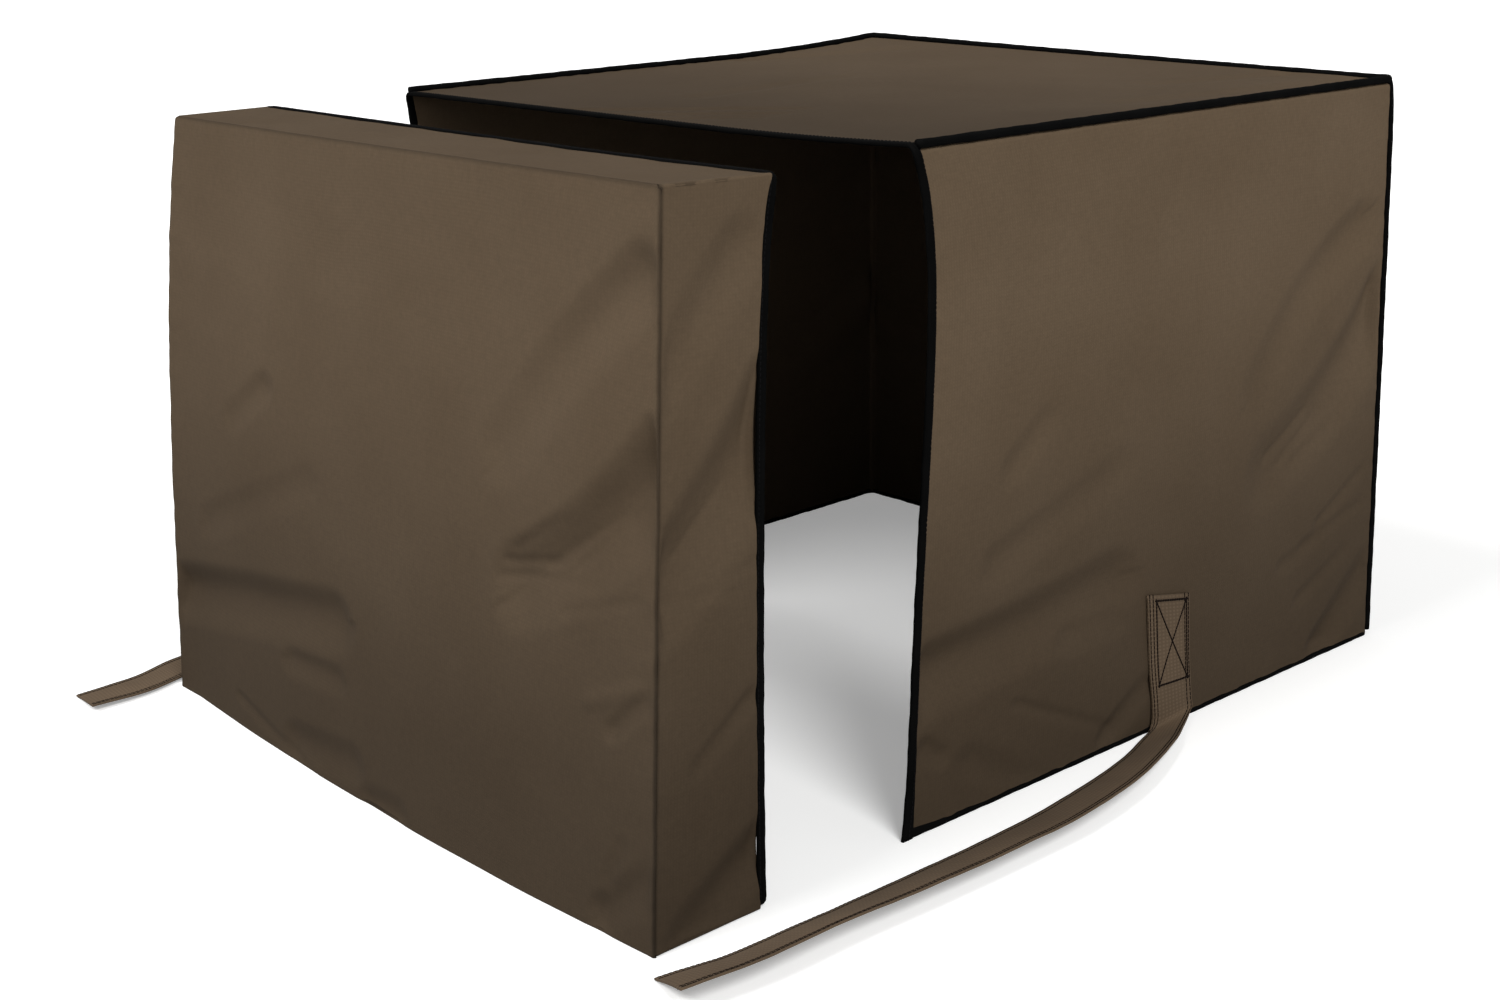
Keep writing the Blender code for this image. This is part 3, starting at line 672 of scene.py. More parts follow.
# A sheet of cloth with its thickness inwards: rows go up and columns across, seen from outside.
def sheetPiece(name, points, thickness, material, metres=None, paintedShading=None):
    rows, columns = points.shape[:2]
    inner = points - gridNormals(points) * thickness
    count = rows * columns
    index = np.arange(count).reshape(rows, columns)
    quads = np.stack([index[:-1, :-1], index[:-1, 1:], index[1:, 1:], index[1:, :-1]], axis=-1)
    quads = quads.reshape(-1, 4)
    border = np.concatenate([index[0, :], index[1:, -1], index[-1, -2::-1], index[-2:0:-1, 0]])
    following = np.roll(border, -1)
    rim = np.stack([border, border + count, following + count, following], axis=1)
    faces = np.concatenate([quads, quads[:, ::-1] + count, rim])
    if metres is None:
        lengths = np.linalg.norm(np.diff(points, axis=1), axis=2)
        heights = np.linalg.norm(np.diff(points, axis=0), axis=2)
        along = np.concatenate([np.zeros((rows, 1)), np.cumsum(lengths, axis=1)], axis=1)
        above = np.concatenate([np.zeros((1, columns)), np.cumsum(heights, axis=0)], axis=0)
        metres = np.stack([along, above], axis=-1)
    flat = np.concatenate([metres.reshape(-1, 2), metres.reshape(-1, 2)])
    sharp = np.concatenate(
        [
            np.stack([border, following], axis=1),
            np.stack([border, following], axis=1) + count,
        ]
    )
    vertices = np.concatenate([points.reshape(-1, 3), inner.reshape(-1, 3)])
    shade = np.ones((rows, columns)) if paintedShading is None else paintedShading
    shade = np.concatenate([shade.ravel(), shade.ravel()])
    return addObject(name, vertices, faces, material, flat[faces.ravel()], sharp, shade)


# A flat bar's outline with round corners, as rows of (along its width, out of its face).
def roundedProfile(width, thickness, radius, steps=3):
    corners = []
    for centreX, centreY, start in (
        (width - radius, -radius, 90),
        (width - radius, -thickness + radius, 0),
        (radius, -thickness + radius, -90),
        (radius, -radius, -180),
    ):
        angles = np.radians(np.linspace(start, start - 90, steps + 1))
        corners.append(
            np.stack([centreX + radius * np.cos(angles), centreY + radius * np.sin(angles)], axis=1)
        )
    return np.concatenate(corners)


# Sweeps a closed profile along a path. The axes give the profile's two directions at each point.
def sweep(name, centres, firstAxis, secondAxis, profile, closed, material):
    if profile.ndim == 2:
        profile = profile[None]
    places = (
        centres[:, None, :]
        + profile[:, :, :1] * firstAxis[:, None, :]
        + profile[:, :, 1:] * secondAxis[:, None, :]
    )
    return ringsPiece(name, places, closed, material)


# Joins rings of points into a tube, closed into a loop or capped at both ends.
def ringsPiece(name, places, closed, material):
    count, ring = places.shape[:2]
    index = np.arange(count * ring).reshape(count, ring)
    nextIndex = np.roll(index, -1, axis=0) if closed else index[1:]
    here = index if closed else index[:-1]
    quads = np.stack(
        [here, np.roll(here, -1, axis=1), np.roll(nextIndex, -1, axis=1), nextIndex], axis=-1
    ).reshape(-1, 4)
    vertices = places.reshape(-1, 3)
    # the signed volume says which way the faces look
    tri = vertices[quads[:, :3]]
    centre = vertices.mean(axis=0)
    volume = np.einsum(
        "ij,ij->i", tri[:, 0] - centre, np.cross(tri[:, 1] - centre, tri[:, 2] - centre)
    ).sum()
    faces = [list(q) for q in (quads[:, ::-1] if volume < 0 else quads)]
    if not closed:
        first, last = list(index[0][::-1]), list(index[-1])
        caps = [first[::-1], last[::-1]] if volume < 0 else [first, last]
        faces += caps
    return addObject(name, vertices, faces, material)


def tangents(path, closed):
    if closed:
        step = np.roll(path, -1, axis=0) - np.roll(path, 1, axis=0)
    else:
        step = np.gradient(path, axis=0)
    return step / np.maximum(np.linalg.norm(step, axis=1, keepdims=True), 1e-12)


# The same path with points at an even spacing.
def evenly(path, spacing, closed=False):
    if closed:
        path = np.vstack([path, path[:1]])
    lengths = np.concatenate([[0], np.cumsum(np.linalg.norm(np.diff(path, axis=0), axis=1))])
    count = max(int(round(lengths[-1] / spacing)), 2)
    stations = np.linspace(0, lengths[-1], count + 1)
    if closed:
        stations = stations[:-1]
    return np.stack([np.interp(stations, lengths, path[:, k]) for k in range(path.shape[1])], axis=1)


# A row of stitches along a path: each is a small bar with pointed ends, sunk half way in.
def stitches(name, path, normal, pitch, length, radius, material, lift=0.0):
    line = evenly(path, pitch)
    facing = np.stack(
        [
            np.interp(np.linspace(0, 1, len(line)), np.linspace(0, 1, len(normal)), normal[:, k])
            for k in range(3)
        ],
        axis=1,
    )
    along = tangents(line, False)
    facing = facing / np.linalg.norm(facing, axis=1, keepdims=True)
    side = np.cross(facing, along)
    side /= np.maximum(np.linalg.norm(side, axis=1, keepdims=True), 1e-12)
    stations = np.array([-0.5, -0.3, 0.3, 0.5]) * length
    girth = np.array([0.35, 1.0, 1.0, 0.35]) * radius
    angles = np.arange(6) / 6 * 2 * math.pi
    ring = (
        line[:, None, None, :]
        + stations[None, :, None, None] * along[:, None, None, :]
        + girth[None, :, None, None] * np.cos(angles)[None, None, :, None] * side[:, None, None, :]
        + (girth[None, :, None, None] * np.sin(angles)[None, None, :, None] + lift)
        * facing[:, None, None, :]
    )
    vertices = ring.reshape(-1, 3)
    template = []
    for k in range(3):
        for j in range(6):
            a, b = k * 6 + j, k * 6 + (j + 1) % 6
            template.append([a, b, b + 6, a + 6])
    bars = (np.arange(len(line)) * 24)[:, None, None] + np.array(template)[None]
    faces = [list(f) for f in bars.reshape(-1, 4)]
    for start in np.arange(len(line)) * 24:
        faces.append([start + 5, start + 4, start + 3, start + 2, start + 1, start])
        faces.append([start + 18 + j for j in range(6)])
    return addObject(name, vertices, faces, material)


# Hides the solids that a piece stands for.
def declare(piece, nodes):
    if nodes:
        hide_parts(*nodes)
    return piece


# The front cap

seam = {
    "lip": 0.0015,  # how far the front panel turns back at its seam
    "radius": 0.0022,  # rounding of the gussets beside that seam
    "pucker": 0.0005,  # height of the small puckers beside a seam
    "puckerLength": 0.017,
}


# Small waves beside a seam that die out within three centimetres of it.
def puckers(along, distance, seed):
    wave = ripple(along, along * 0.37, seed, seam["puckerLength"] * 2.2, seam["puckerLength"] * 0.6, 5)
    return seam["pucker"] * wave * nearEdge(distance, 0.03)


# Grid parameters across and up: even spacing, with close lines beside all four seams.
def parameterGrid(width, tall, spacing):
    beside = np.array([0, 0.4, 0.8, 1.2, 1.6, 2.2, 3.0, 4.2]) / 1000

    def lines(size):
        inner = np.linspace(0.006, size - 0.006, int((size - 0.012) / spacing) + 2)
        return np.concatenate([beside, inner, (size - beside)[::-1]]) / size

    u, v = np.meshgrid(lines(width), lines(tall))
    return u, v


# Painted shade in a seam's groove: a narrow dark line that fades with the distance from the seam.
def seamShade(distance, amount=0.55, reach=0.0016):
    return 1 - amount * np.exp(-((distance / reach) ** 2))


def makeCapFront():
    u, v = parameterGrid(0.62, height, 0.0027)
    z = floorZ + v * (height + lean["capFrontCorner"] * u**2)
    left, right = capLeft(z), capRight(z)
    x = left + u * (right - left)
    up = z - floorZ
    toLeft, toRight, toTop = x - left, right - x, topZ + lean["capFrontCorner"] * u**2 - z
    fade = smoothStep(np.minimum.reduce([toLeft, toRight, toTop, up + 0.004]) / 0.010)
    press = foldDepth(frontFolds, x, up) * fade
    press += 0.0008 * ripple(x, up, 3, 0.21, 0.05, 7)
    press += puckers(x, toTop, 5) + puckers(up, toRight, 6) + puckers(up, toLeft, 7)
    lip = seam["lip"]
    turned = rounding(toTop, lip) + rounding(toRight, lip) + rounding(toLeft, lip) + rounding(up, lip)
    y = capFront(x, z) + press + turned
    # the corners are rounded a little in the front's own plane
    corner = 0.006
    outX = np.clip(np.abs(x) - (np.where(x > 0, right, -left) - corner), 0, None)
    outZ = np.clip(corner - toTop, 0, None)
    reach = np.hypot(outX, outZ)
    pull = np.where((outX > 0) & (outZ > 0) & (reach > corner), 1 - corner / np.maximum(reach, 1e-9), 0)
    x = x - np.sign(x) * outX * pull
    z = z - outZ * pull
    points = np.stack([x, y, z], axis=-1)
    # painted shade: the front is made a little darker over all, darker towards the bottom and in the
    # grooves of its seams
    paintedShading = 0.93 * paintedDownwardShade(z) * seamShade(toTop) * seamShade(toRight) * seamShade(toLeft)
    piece = sheetPiece("front_panel", points, cover["cloth"], brownCloth, paintedShading=paintedShading)
    return declare(piece, ["cap_front_panel"])


def makeCapGussets():
    r = seam["radius"]
    bandEnd = trim["bindingWidth"] - 0.0012
    for name, across, sign, folds, node in (
        ("right_gusset", capRight, 1, capRightFolds, "cap_right_gusset"),
        ("left_gusset", capLeft, -1, capLeftFolds, "cap_left_gusset"),
    ):
        u, v = parameterGrid(0.087, height, 0.0028)
        backward = u if sign > 0 else 1 - u
        corner = (lean["capFrontCorner"] if sign > 0 else 0) * (1 - backward)
        z = floorZ + 0.0008 + v * (height - 0.0008 + corner)
        edge = across(z)
        start = capFront(edge, z) + seam["lip"]
        end = capMouth(edge, z) - bandEnd
        y = start + backward * (end - start)
        up, behind = z - floorZ, y - capFrontY
        toTop = topZ + corner - z
        fade = smoothStep(np.minimum(toTop, up + 0.004) / 0.012)
        press = foldDepth(folds, behind, up) * fade
        press *= smoothStep((y - start) / 0.010) * smoothStep((end - y) / 0.010 + 0.5)
        press += 0.0006 * ripple(behind, up, 11 + sign, 0.16, 0.04, 6)
        press += puckers(up, y - start, 12 + sign) + puckers(behind, toTop, 15 + sign)
        press += rounding(y - start, r) + rounding(toTop, r) + rounding(up, r)
        x = edge - sign * press
        points = np.stack([x, y, z], axis=-1)
        # painted shade: darker towards the bottom and in the groove of the front seam, faintly in the top
        # seam
        paintedShading = paintedDownwardShade(z) * seamShade(y - start) * seamShade(toTop, 0.2)
        piece = sheetPiece(name, points, cover["cloth"], brownCloth, paintedShading=paintedShading)
        declare(piece, [node])
    for name, node, facingUp in (
        ("top_gusset", "cap_top_gusset", True),
        ("bottom_gusset", "cap_bottom_gusset", False),
    ):
        u, v = parameterGrid(0.62, 0.087, 0.0045)
        across = u if facingUp else 1 - u
        zFace = topZ if facingUp else floorZ + 0.0004
        left, right = capLeft(zFace), capRight(zFace)
        x = left + across * (right - left)
        start = capFront(x, zFace) + seam["lip"]
        end = capMouth(x, zFace) - bandEnd
        y = start + v * (end - start)
        corner = lean["capFrontCorner"] * across**2 * (1 - v) if facingUp else 0 * v
        toSide = np.minimum(x - left, right - x)
        press = rounding(y - start, r) + rounding(toSide, r)
        press += 0.0007 * (1 + ripple(x, y, 21 + facingUp, 0.15, 0.04, 6)) * smoothStep(toSide / 0.01)
        press += 0.5 * np.abs(puckers(x, y - start, 23 + facingUp))
        z = zFace + corner - press if facingUp else zFace + 0.6 * press
        points = np.stack([x, y, z], axis=-1)
        # painted shade: the top gusset is made darker against the light its upward face gets, the bottom
        # gusset darker still as the underside, both darker in the seam grooves
        paintedShading = (0.76 if facingUp else 0.50) * seamShade(y - start) * seamShade(toSide, 0.2)
        piece = sheetPiece(name, points, cover["cloth"], brownCloth, paintedShading=paintedShading)
        declare(piece, [node])


def arc(centreX, centreZ, radius, start, end, steps=8):
    angles = np.radians(np.linspace(start, end, steps + 1))
    return np.stack([centreX + radius * np.cos(angles), centreZ + radius * np.sin(angles)], axis=1)


# Evenly spaced points of a mouth's edge, as (x, y, z), with the outward direction at each.
def bandPath(outline, frontY, closed):
    flat = evenly(outline, trim["pathSpacing"], closed)
    along = tangents(flat, closed)
    outward = np.stack([-along[:, 1], np.zeros(len(flat)), along[:, 0]], axis=1)
    centres = np.stack([flat[:, 0], frontY(flat[:, 0], flat[:, 1]), flat[:, 1]], axis=1)
    return centres, outward


# The binding's section at each point of its path: its width and thickness vary a little, and extra
# adds to its width.
def bandProfile(count, seed, width, thickness, extra=0.0):
    random = np.random.default_rng(seed)
    distance = np.arange(count) * trim["pathSpacing"]
    uneven = sum(
        math.sqrt(length) * np.sin(distance * 2 * math.pi / length + random.uniform(0, 6.3))
        for length in (0.05, 0.031, 0.019, 0.012)
    )
    uneven /= np.abs(uneven).max()
    base = roundedProfile(width, thickness, 0.0012)
    profile = np.repeat(base[None], count, axis=0)
    front = base[:, 0] < width / 2
    profile[:, front, 0] += 0.0004 * uneven[:, None]
    profile[:, ~front, 0] += (0.0004 * np.roll(uneven, 11) + extra)[:, None]
    profile[:, :, 1] *= (1 + 0.06 * np.roll(uneven, 7))[:, None]
    return profile


# A mouth's binding along its path, with a row of stitches at a distance behind its front edge.
def sewBinding(name, node, centres, outward, profile, closed, rowAt):
    backward = np.tile([0.0, 1.0, 0.0], (len(centres), 1))
    piece = sweep(name, centres, backward, outward, profile, closed, blackTape)
    declare(piece, [node])
    row = stitches(
        name + "_stitches",
        centres + backward * rowAt,
        outward,
        0.0036,
        0.0026,
        0.00028,
        blackThread,
        0.0001,
    )
    declare(row, [])


def makeCapBinding():
    r = trim["bindingCorner"]
    top, bottom = topZ + trim["bindingProud"], floorZ
    heights = np.linspace(bottom + r, top - r, 60)
    left = np.stack([capLeft(heights) - trim["bindingProud"], heights], axis=1)
    right = np.stack([capRight(heights) + trim["bindingProud"], heights], axis=1)[::-1]
    outline = np.vstack(
        [
            left[:-1],
            arc(left[-1, 0] + r, top - r, r, 180, 90),
            arc(right[0, 0] - r, top - r, r, 90, 0),
            right[1:-1],
            arc(right[-1, 0] - r, bottom + r, r, 0, -90),
            arc(left[0, 0] + r, bottom + r, r, -90, -180)[:-1],
        ]
    )
    width = trim["bindingWidth"]
    centres, outward = bandPath(outline, lambda x, z: capMouth(x, z) - width, True)
    profile = bandProfile(len(centres), 31, width, trim["bindingThickness"])
    sewBinding("cap_binding", "cap_mouth_binding", centres, outward, profile, True, 0.0012)


def makeRearBinding():
    r = trim["bindingCorner"]
    top = topZ + trim["bindingProud"]
    heights = np.linspace(floorZ, top - r, 90)
    edge = sideX(mouthY, heights) + trim["bindingProud"]
    left = np.stack([-edge, heights], axis=1)
    right = np.stack([edge, heights], axis=1)[::-1]
    outline = np.vstack(
        [
            left[:-1],
            arc(left[-1, 0] + r, top - r, r, 180, 90),
            arc(right[0, 0] - r, top - r, r, 90, 0),
            right[1:],
        ]
    )
    outline = evenly(outline, trim["pathSpacing"])
    raised = np.clip((outline[:, 1] - floorZ) / height, 0, 1) ** 4
    outline[:, 1] += topRise(outline[:, 0], mouthY) * raised

    def frontY(x, z):
        return rearMouth(z, np.where(x > 0, lean["bowRight"], lean["bowLeft"]))

    centres, outward = bandPath(outline, frontY, False)
    width = trim["bindingWidth"]
    wider = 0.0040 * np.exp(-(centres[:, 2] - floorZ) / 0.035)
    profile = bandProfile(len(centres), 37, width, trim["bindingThickness"], wider)
    sewBinding(
        "mouth_binding", "rear_mouth_binding", centres, outward, profile, False, width - 0.0012
    )


def makeHemBinding():
    r = trim["bindingCorner"]
    proud = trim["bindingProud"]
    start = [rearMouth(floorZ, lean[key]) + trim["bindingWidth"] for key in ("bowRight", "bowLeft")]
    outerBack = rearBack(floorZ) + proud
    runRight = np.linspace(start[0], outerBack - r, 40)
    runLeft = np.linspace(outerBack - r, start[1], 40)
    xRight = sideX(runRight, floorZ) + proud
    xLeft = -sideX(runLeft, floorZ) - proud
    plan = np.vstack(
        [
            np.stack([xRight, runRight], axis=1)[:-1],
            arc(xRight[-1] - r, outerBack - r, r, 0, 90),
            arc(xLeft[0] + r, outerBack - r, r, 90, 180),
            np.stack([xLeft, runLeft], axis=1)[1:],
        ]
    )
    plan = evenly(plan, trim["pathSpacing"])
    along = tangents(plan, False)
    outward = np.stack([along[:, 1], -along[:, 0], np.zeros(len(plan))], axis=1)
    centres = np.stack([plan[:, 0], plan[:, 1], np.full(len(plan), floorZ)], axis=1)
    upward = np.tile([0.0, 0.0, 1.0], (len(plan), 1))
    width = trim["hemWidth"]
    wider = 0.0045 * np.exp(-(plan[:, 1] - plan[:, 1].min()) / 0.03)
    profile = bandProfile(len(plan), 41, width, trim["bindingThickness"], wider)
    profile[:, :, 0] = np.maximum(profile[:, :, 0], 0)
    piece = sweep("hem_binding", centres, upward, outward, profile, False, blackTape)
    declare(piece, ["rear_hem_binding"])


# The rear cover's panels


# The cloth turns in towards the piping.
def pipedEdge(distance):
    return rounding(distance - 0.0006, 0.0030)


def makeSidePanel(name, node, sign, folds, bow, seed):
    u, v = parameterGrid(cover["rearDepth"], height, 0.0027 if sign > 0 else 0.0050)
    backward = u if sign > 0 else 1 - u
    tuck = trim["pipingInset"] + trim["pipingRadius"] - 0.0014
    rise = topRise(sign * halfWidth, mouthY + backward * cover["rearDepth"])
    low = floorZ + trim["hemWidth"] - 0.0012
    high = topZ - tuck + rise
    z = low + v * (high - low)
    start = rearMouth(z, bow) + trim["bindingWidth"] - 0.0012
    end = rearBack(z) - tuck
    y = start + backward * (end - start)
    up, behind = z - floorZ, y - capFrontY
    toTop, toBack, toMouth = high - z, end - y, y - start
    fade = smoothStep(np.minimum.reduce([toTop, toBack, toMouth + 0.002, z - low + 0.002]) / 0.012)
    press = foldDepth(folds, behind, up) - belly(backward, v)
    press += 0.0009 * ripple(behind, up, seed, 0.22, 0.05, 7)
    press = press * fade + puckers(up, toMouth, seed + 1) + puckers(behind, z - low, seed + 2)
    press += puckers(behind, toTop, seed + 3) + puckers(up, toBack, seed + 4)
    press += pipedEdge(toTop) + pipedEdge(toBack)
    x = sign * (sideX(y, z) - press)
    points = np.stack([x, y, z], axis=-1)
    # painted light and shade: the sides are made lighter over all and darker towards the bottom
    piece = sheetPiece(name, points, cover["cloth"], brownCloth, paintedShading=1.12 * paintedDownwardShade(z))
    return declare(piece, [node])


def makeBackPanel():
    u, v = parameterGrid(cover["width"], height, 0.0055)
    tuck = trim["pipingInset"] + trim["pipingRadius"] - 0.0014
    low = floorZ + trim["hemWidth"] - 0.0012
    high = topZ - tuck + topRise(halfWidth - cover["width"] * u, backY)
    z = low + v * (high - low)
    edge = sideX(backY, z) - tuck
    x = edge - 2 * edge * u
    up = z - floorZ
    toTop, toSide = high - z, np.minimum(edge - x, edge + x)
    fade = smoothStep(np.minimum.reduce([toTop, toSide, z - low + 0.002]) / 0.012)
    press = foldDepth(backFolds, x, up) - belly(u, v) + 0.0009 * ripple(x, up, 51, 0.22, 0.05, 7)
    press = press * fade + puckers(x, toTop, 52) + puckers(up, toSide, 53)
    press += pipedEdge(toTop) + pipedEdge(toSide)
    y = rearBack(z) - press
    points = np.stack([x, y, z], axis=-1)
    # painted shade: darker towards the bottom
    piece = sheetPiece("back_panel", points, cover["cloth"], brownCloth, paintedShading=paintedDownwardShade(z))
    return declare(piece, ["rear_back_panel"])


def makeTopPanel():
    u, v = parameterGrid(cover["width"], cover["rearDepth"], 0.0048)
    tuck = trim["pipingInset"] + trim["pipingRadius"] - 0.0014
    edge = halfWidth - tuck
    x = 2 * edge * u - edge
    start, end = mouthY + trim["bindingWidth"] - 0.0012, backY - tuck
    y = start + v * (end - start)
    toSide, toBack, toMouth = np.minimum(edge - x, edge + x), end - y, y - start
    fade = smoothStep(np.minimum.reduce([toSide, toBack, toMouth + 0.002]) / 0.012)
    press = foldDepth(topFolds, x, y - capFrontY) + 0.0006 * (1 + ripple(x, y, 61, 0.24, 0.06, 7))
    press = press * fade + 0.6 * np.abs(puckers(x, toMouth, 62)) + puckers(y, toSide, 63)
    press += pipedEdge(toSide) + pipedEdge(toBack)
    z = topZ + topRise(x, y) - press
    points = np.stack([x, y, z], axis=-1)
    # painted shade: the top is made darker over all, and darker still towards its mouth and its right edge
    paintedShading = 0.48 + 0.24 * smoothStep(v / 0.9) - 0.05 * smoothStep(u) * (1 - v)
    piece = sheetPiece("top_panel", points, cover["cloth"], brownCloth, paintedShading=paintedShading)
    return declare(piece, ["rear_top_panel"])


# A covered cord: a round section whose radius varies a little, sewn in the corner seam.
def makePiping(name, node, path, seed):
    path = evenly(path, trim["pathSpacing"])
    along = tangents(path, False)
    helper = np.where(np.abs(along[:, 2:]) > 0.9, [[0.0, 1.0, 0.0]], [[0.0, 0.0, 1.0]])
    first = np.cross(along, helper)
    first /= np.linalg.norm(first, axis=1, keepdims=True)
    second = np.cross(first, along)
    random = np.random.default_rng(seed)
    distance = np.arange(len(path)) * trim["pathSpacing"]
    uneven = sum(
        np.sin(distance * 2 * math.pi / length + random.uniform(0, 6.3))
        for length in (0.083, 0.047, 0.026, 0.014)
    )
    radius = trim["pipingRadius"] * (1 + 0.05 * uneven / 2)
    angles = np.arange(14) / 14 * 2 * math.pi
    profile = np.stack([np.cos(angles), np.sin(angles)], axis=1)[None] * radius[:, None, None]
    piece = sweep(name, path, first, second, profile, False, blackPiping)
    return declare(piece, [node])


def makeAllPiping():
    inset, r = trim["pipingInset"], trim["pipingCorner"]
    edge, back = halfWidth - inset, backY - inset
    z = topZ - 0.0004  # the cord stands a little above the cloth
    start = mouthY + trim["bindingWidth"] - 0.002
    plan = np.vstack(
        [
            [[-edge, y] for y in np.linspace(start, back - r, 60)],
            arc(-edge + r, back - r, r, 180, 90)[1:],
            arc(edge - r, back - r, r, 90, 0),
            [[edge, y] for y in np.linspace(back - r, start, 60)][1:],
        ]
    )
    plan = evenly(plan, trim["pathSpacing"])
    rise = topRise(plan[:, 0], plan[:, 1]) + 0.0016 * np.clip(0.5 - plan[:, 0] / cover["width"], 0, 1)
    makePiping("top_piping", "rear_top_piping", np.column_stack([plan, z + rise]), 71)
    for name, node, sign in (
        ("right_corner_piping", "rear_right_corner_piping", 1),
        ("left_corner_piping", "rear_left_corner_piping", -1),
    ):
        top = topZ - 0.0025 + topRise(sign * halfWidth, backY)
        heights = np.linspace(top, floorZ + trim["bindingWidth"] - 0.002, 120)
        turn = 0.0016 * np.exp(-(top - heights) / 0.008)
        x = sign * (sideX(backY, heights) - inset - turn)
        y = rearBack(heights) - inset - turn
        makePiping(name, node, np.stack([x, y, heights], axis=1), 72 + sign)


# The straps. Each row is the webbing's two edges: distance out from the side panel, distance behind
# the cap's front and height above the floor, for the edge nearer the cap and then the far one.

strapRows = {
    "right": (
        (0.0013, 0.472, 0.1200, 0.0013, 0.526, 0.1085),
        (0.0014, 0.479, 0.0600, 0.0014, 0.531, 0.0550),
        (0.0020, 0.485, 0.0220, 0.0022, 0.535, 0.0200),
        (0.0034, 0.482, 0.0050, 0.0044, 0.534, 0.0080),
        (0.0094, 0.458, 0.0011, 0.0189, 0.505, 0.0060),
        (0.0197, 0.425, 0.0011, 0.0398, 0.464, 0.0110),
        (0.0285, 0.375, 0.0011, 0.0655, 0.394, 0.0155),
        (0.0361, 0.310, 0.0011, 0.0802, 0.315, 0.0168),
        (0.0392, 0.240, 0.0011, 0.0827, 0.240, 0.0168),
        (0.0388, 0.150, 0.0011, 0.0813, 0.150, 0.0175),
        (0.0371, 0.070, 0.0011, 0.0780, 0.070, 0.0190),
        (0.0345, 0.005, 0.0011, 0.0775, -0.002, 0.0195),
        (0.0249, -0.046, 0.0011, 0.0702, -0.062, 0.0195),
    ),
    "left": (
        (0.0013, 0.472, 0.1200, 0.0013, 0.526, 0.1085),
        (0.0014, 0.479, 0.0600, 0.0014, 0.531, 0.0550),
        (0.0020, 0.485, 0.0220, 0.0022, 0.535, 0.0200),
        (0.0034, 0.486, 0.0050, 0.0044, 0.537, 0.0080),
        (0.0133, 0.466, 0.0011, 0.0220, 0.512, 0.0040),
        (0.0258, 0.430, 0.0011, 0.0534, 0.464, 0.0030),
        (0.0363, 0.375, 0.0011, 0.0802, 0.386, 0.0020),
        (0.0420, 0.300, 0.0011, 0.0880, 0.302, 0.0011),
        (0.0462, 0.200, 0.0011, 0.0922, 0.198, 0.0011),
        (0.0512, 0.100, 0.0020, 0.0967, 0.100, 0.0011),
        (0.0502, 0.000, 0.0030, 0.0957, 0.003, 0.0011),
        (0.0348, -0.058, 0.0040, 0.0798, -0.051, 0.0011),
        (0.0330, -0.112, 0.0060, 0.0764, -0.107, 0.0011),
    ),
}


# Rows on a smooth curve through the given ones (Catmull-Rom).
def smoothRows(rows, steps):
    rows = np.array(rows)
    held = np.vstack([2 * rows[0] - rows[1], rows, 2 * rows[-1] - rows[-2]])
    t = (np.arange(steps) / steps)[:, None]
    smooth = [
        0.5
        * (
            2 * here
            + (there - before) * t
            + (2 * before - 5 * here + 4 * there - after) * t**2
            + (3 * here - before - 3 * there + after) * t**3
        )
        for before, here, there, after in zip(held, held[1:], held[2:], held[3:])
    ]
    return np.vstack([*smooth, rows[-1:]])


# The two edges of a strap's middle surface, from its sewn top to its free end.
def strapEdges(side, sign):
    rows = smoothRows(strapRows[side], 14)
    edges = []
    for out, behind, up in (rows[:, :3].T, rows[:, 3:].T):
        y, z = behind + capFrontY, up + floorZ
        edges.append(np.stack([sign * (sideSurface(y, z) + out), y, z], axis=1))
    return edges


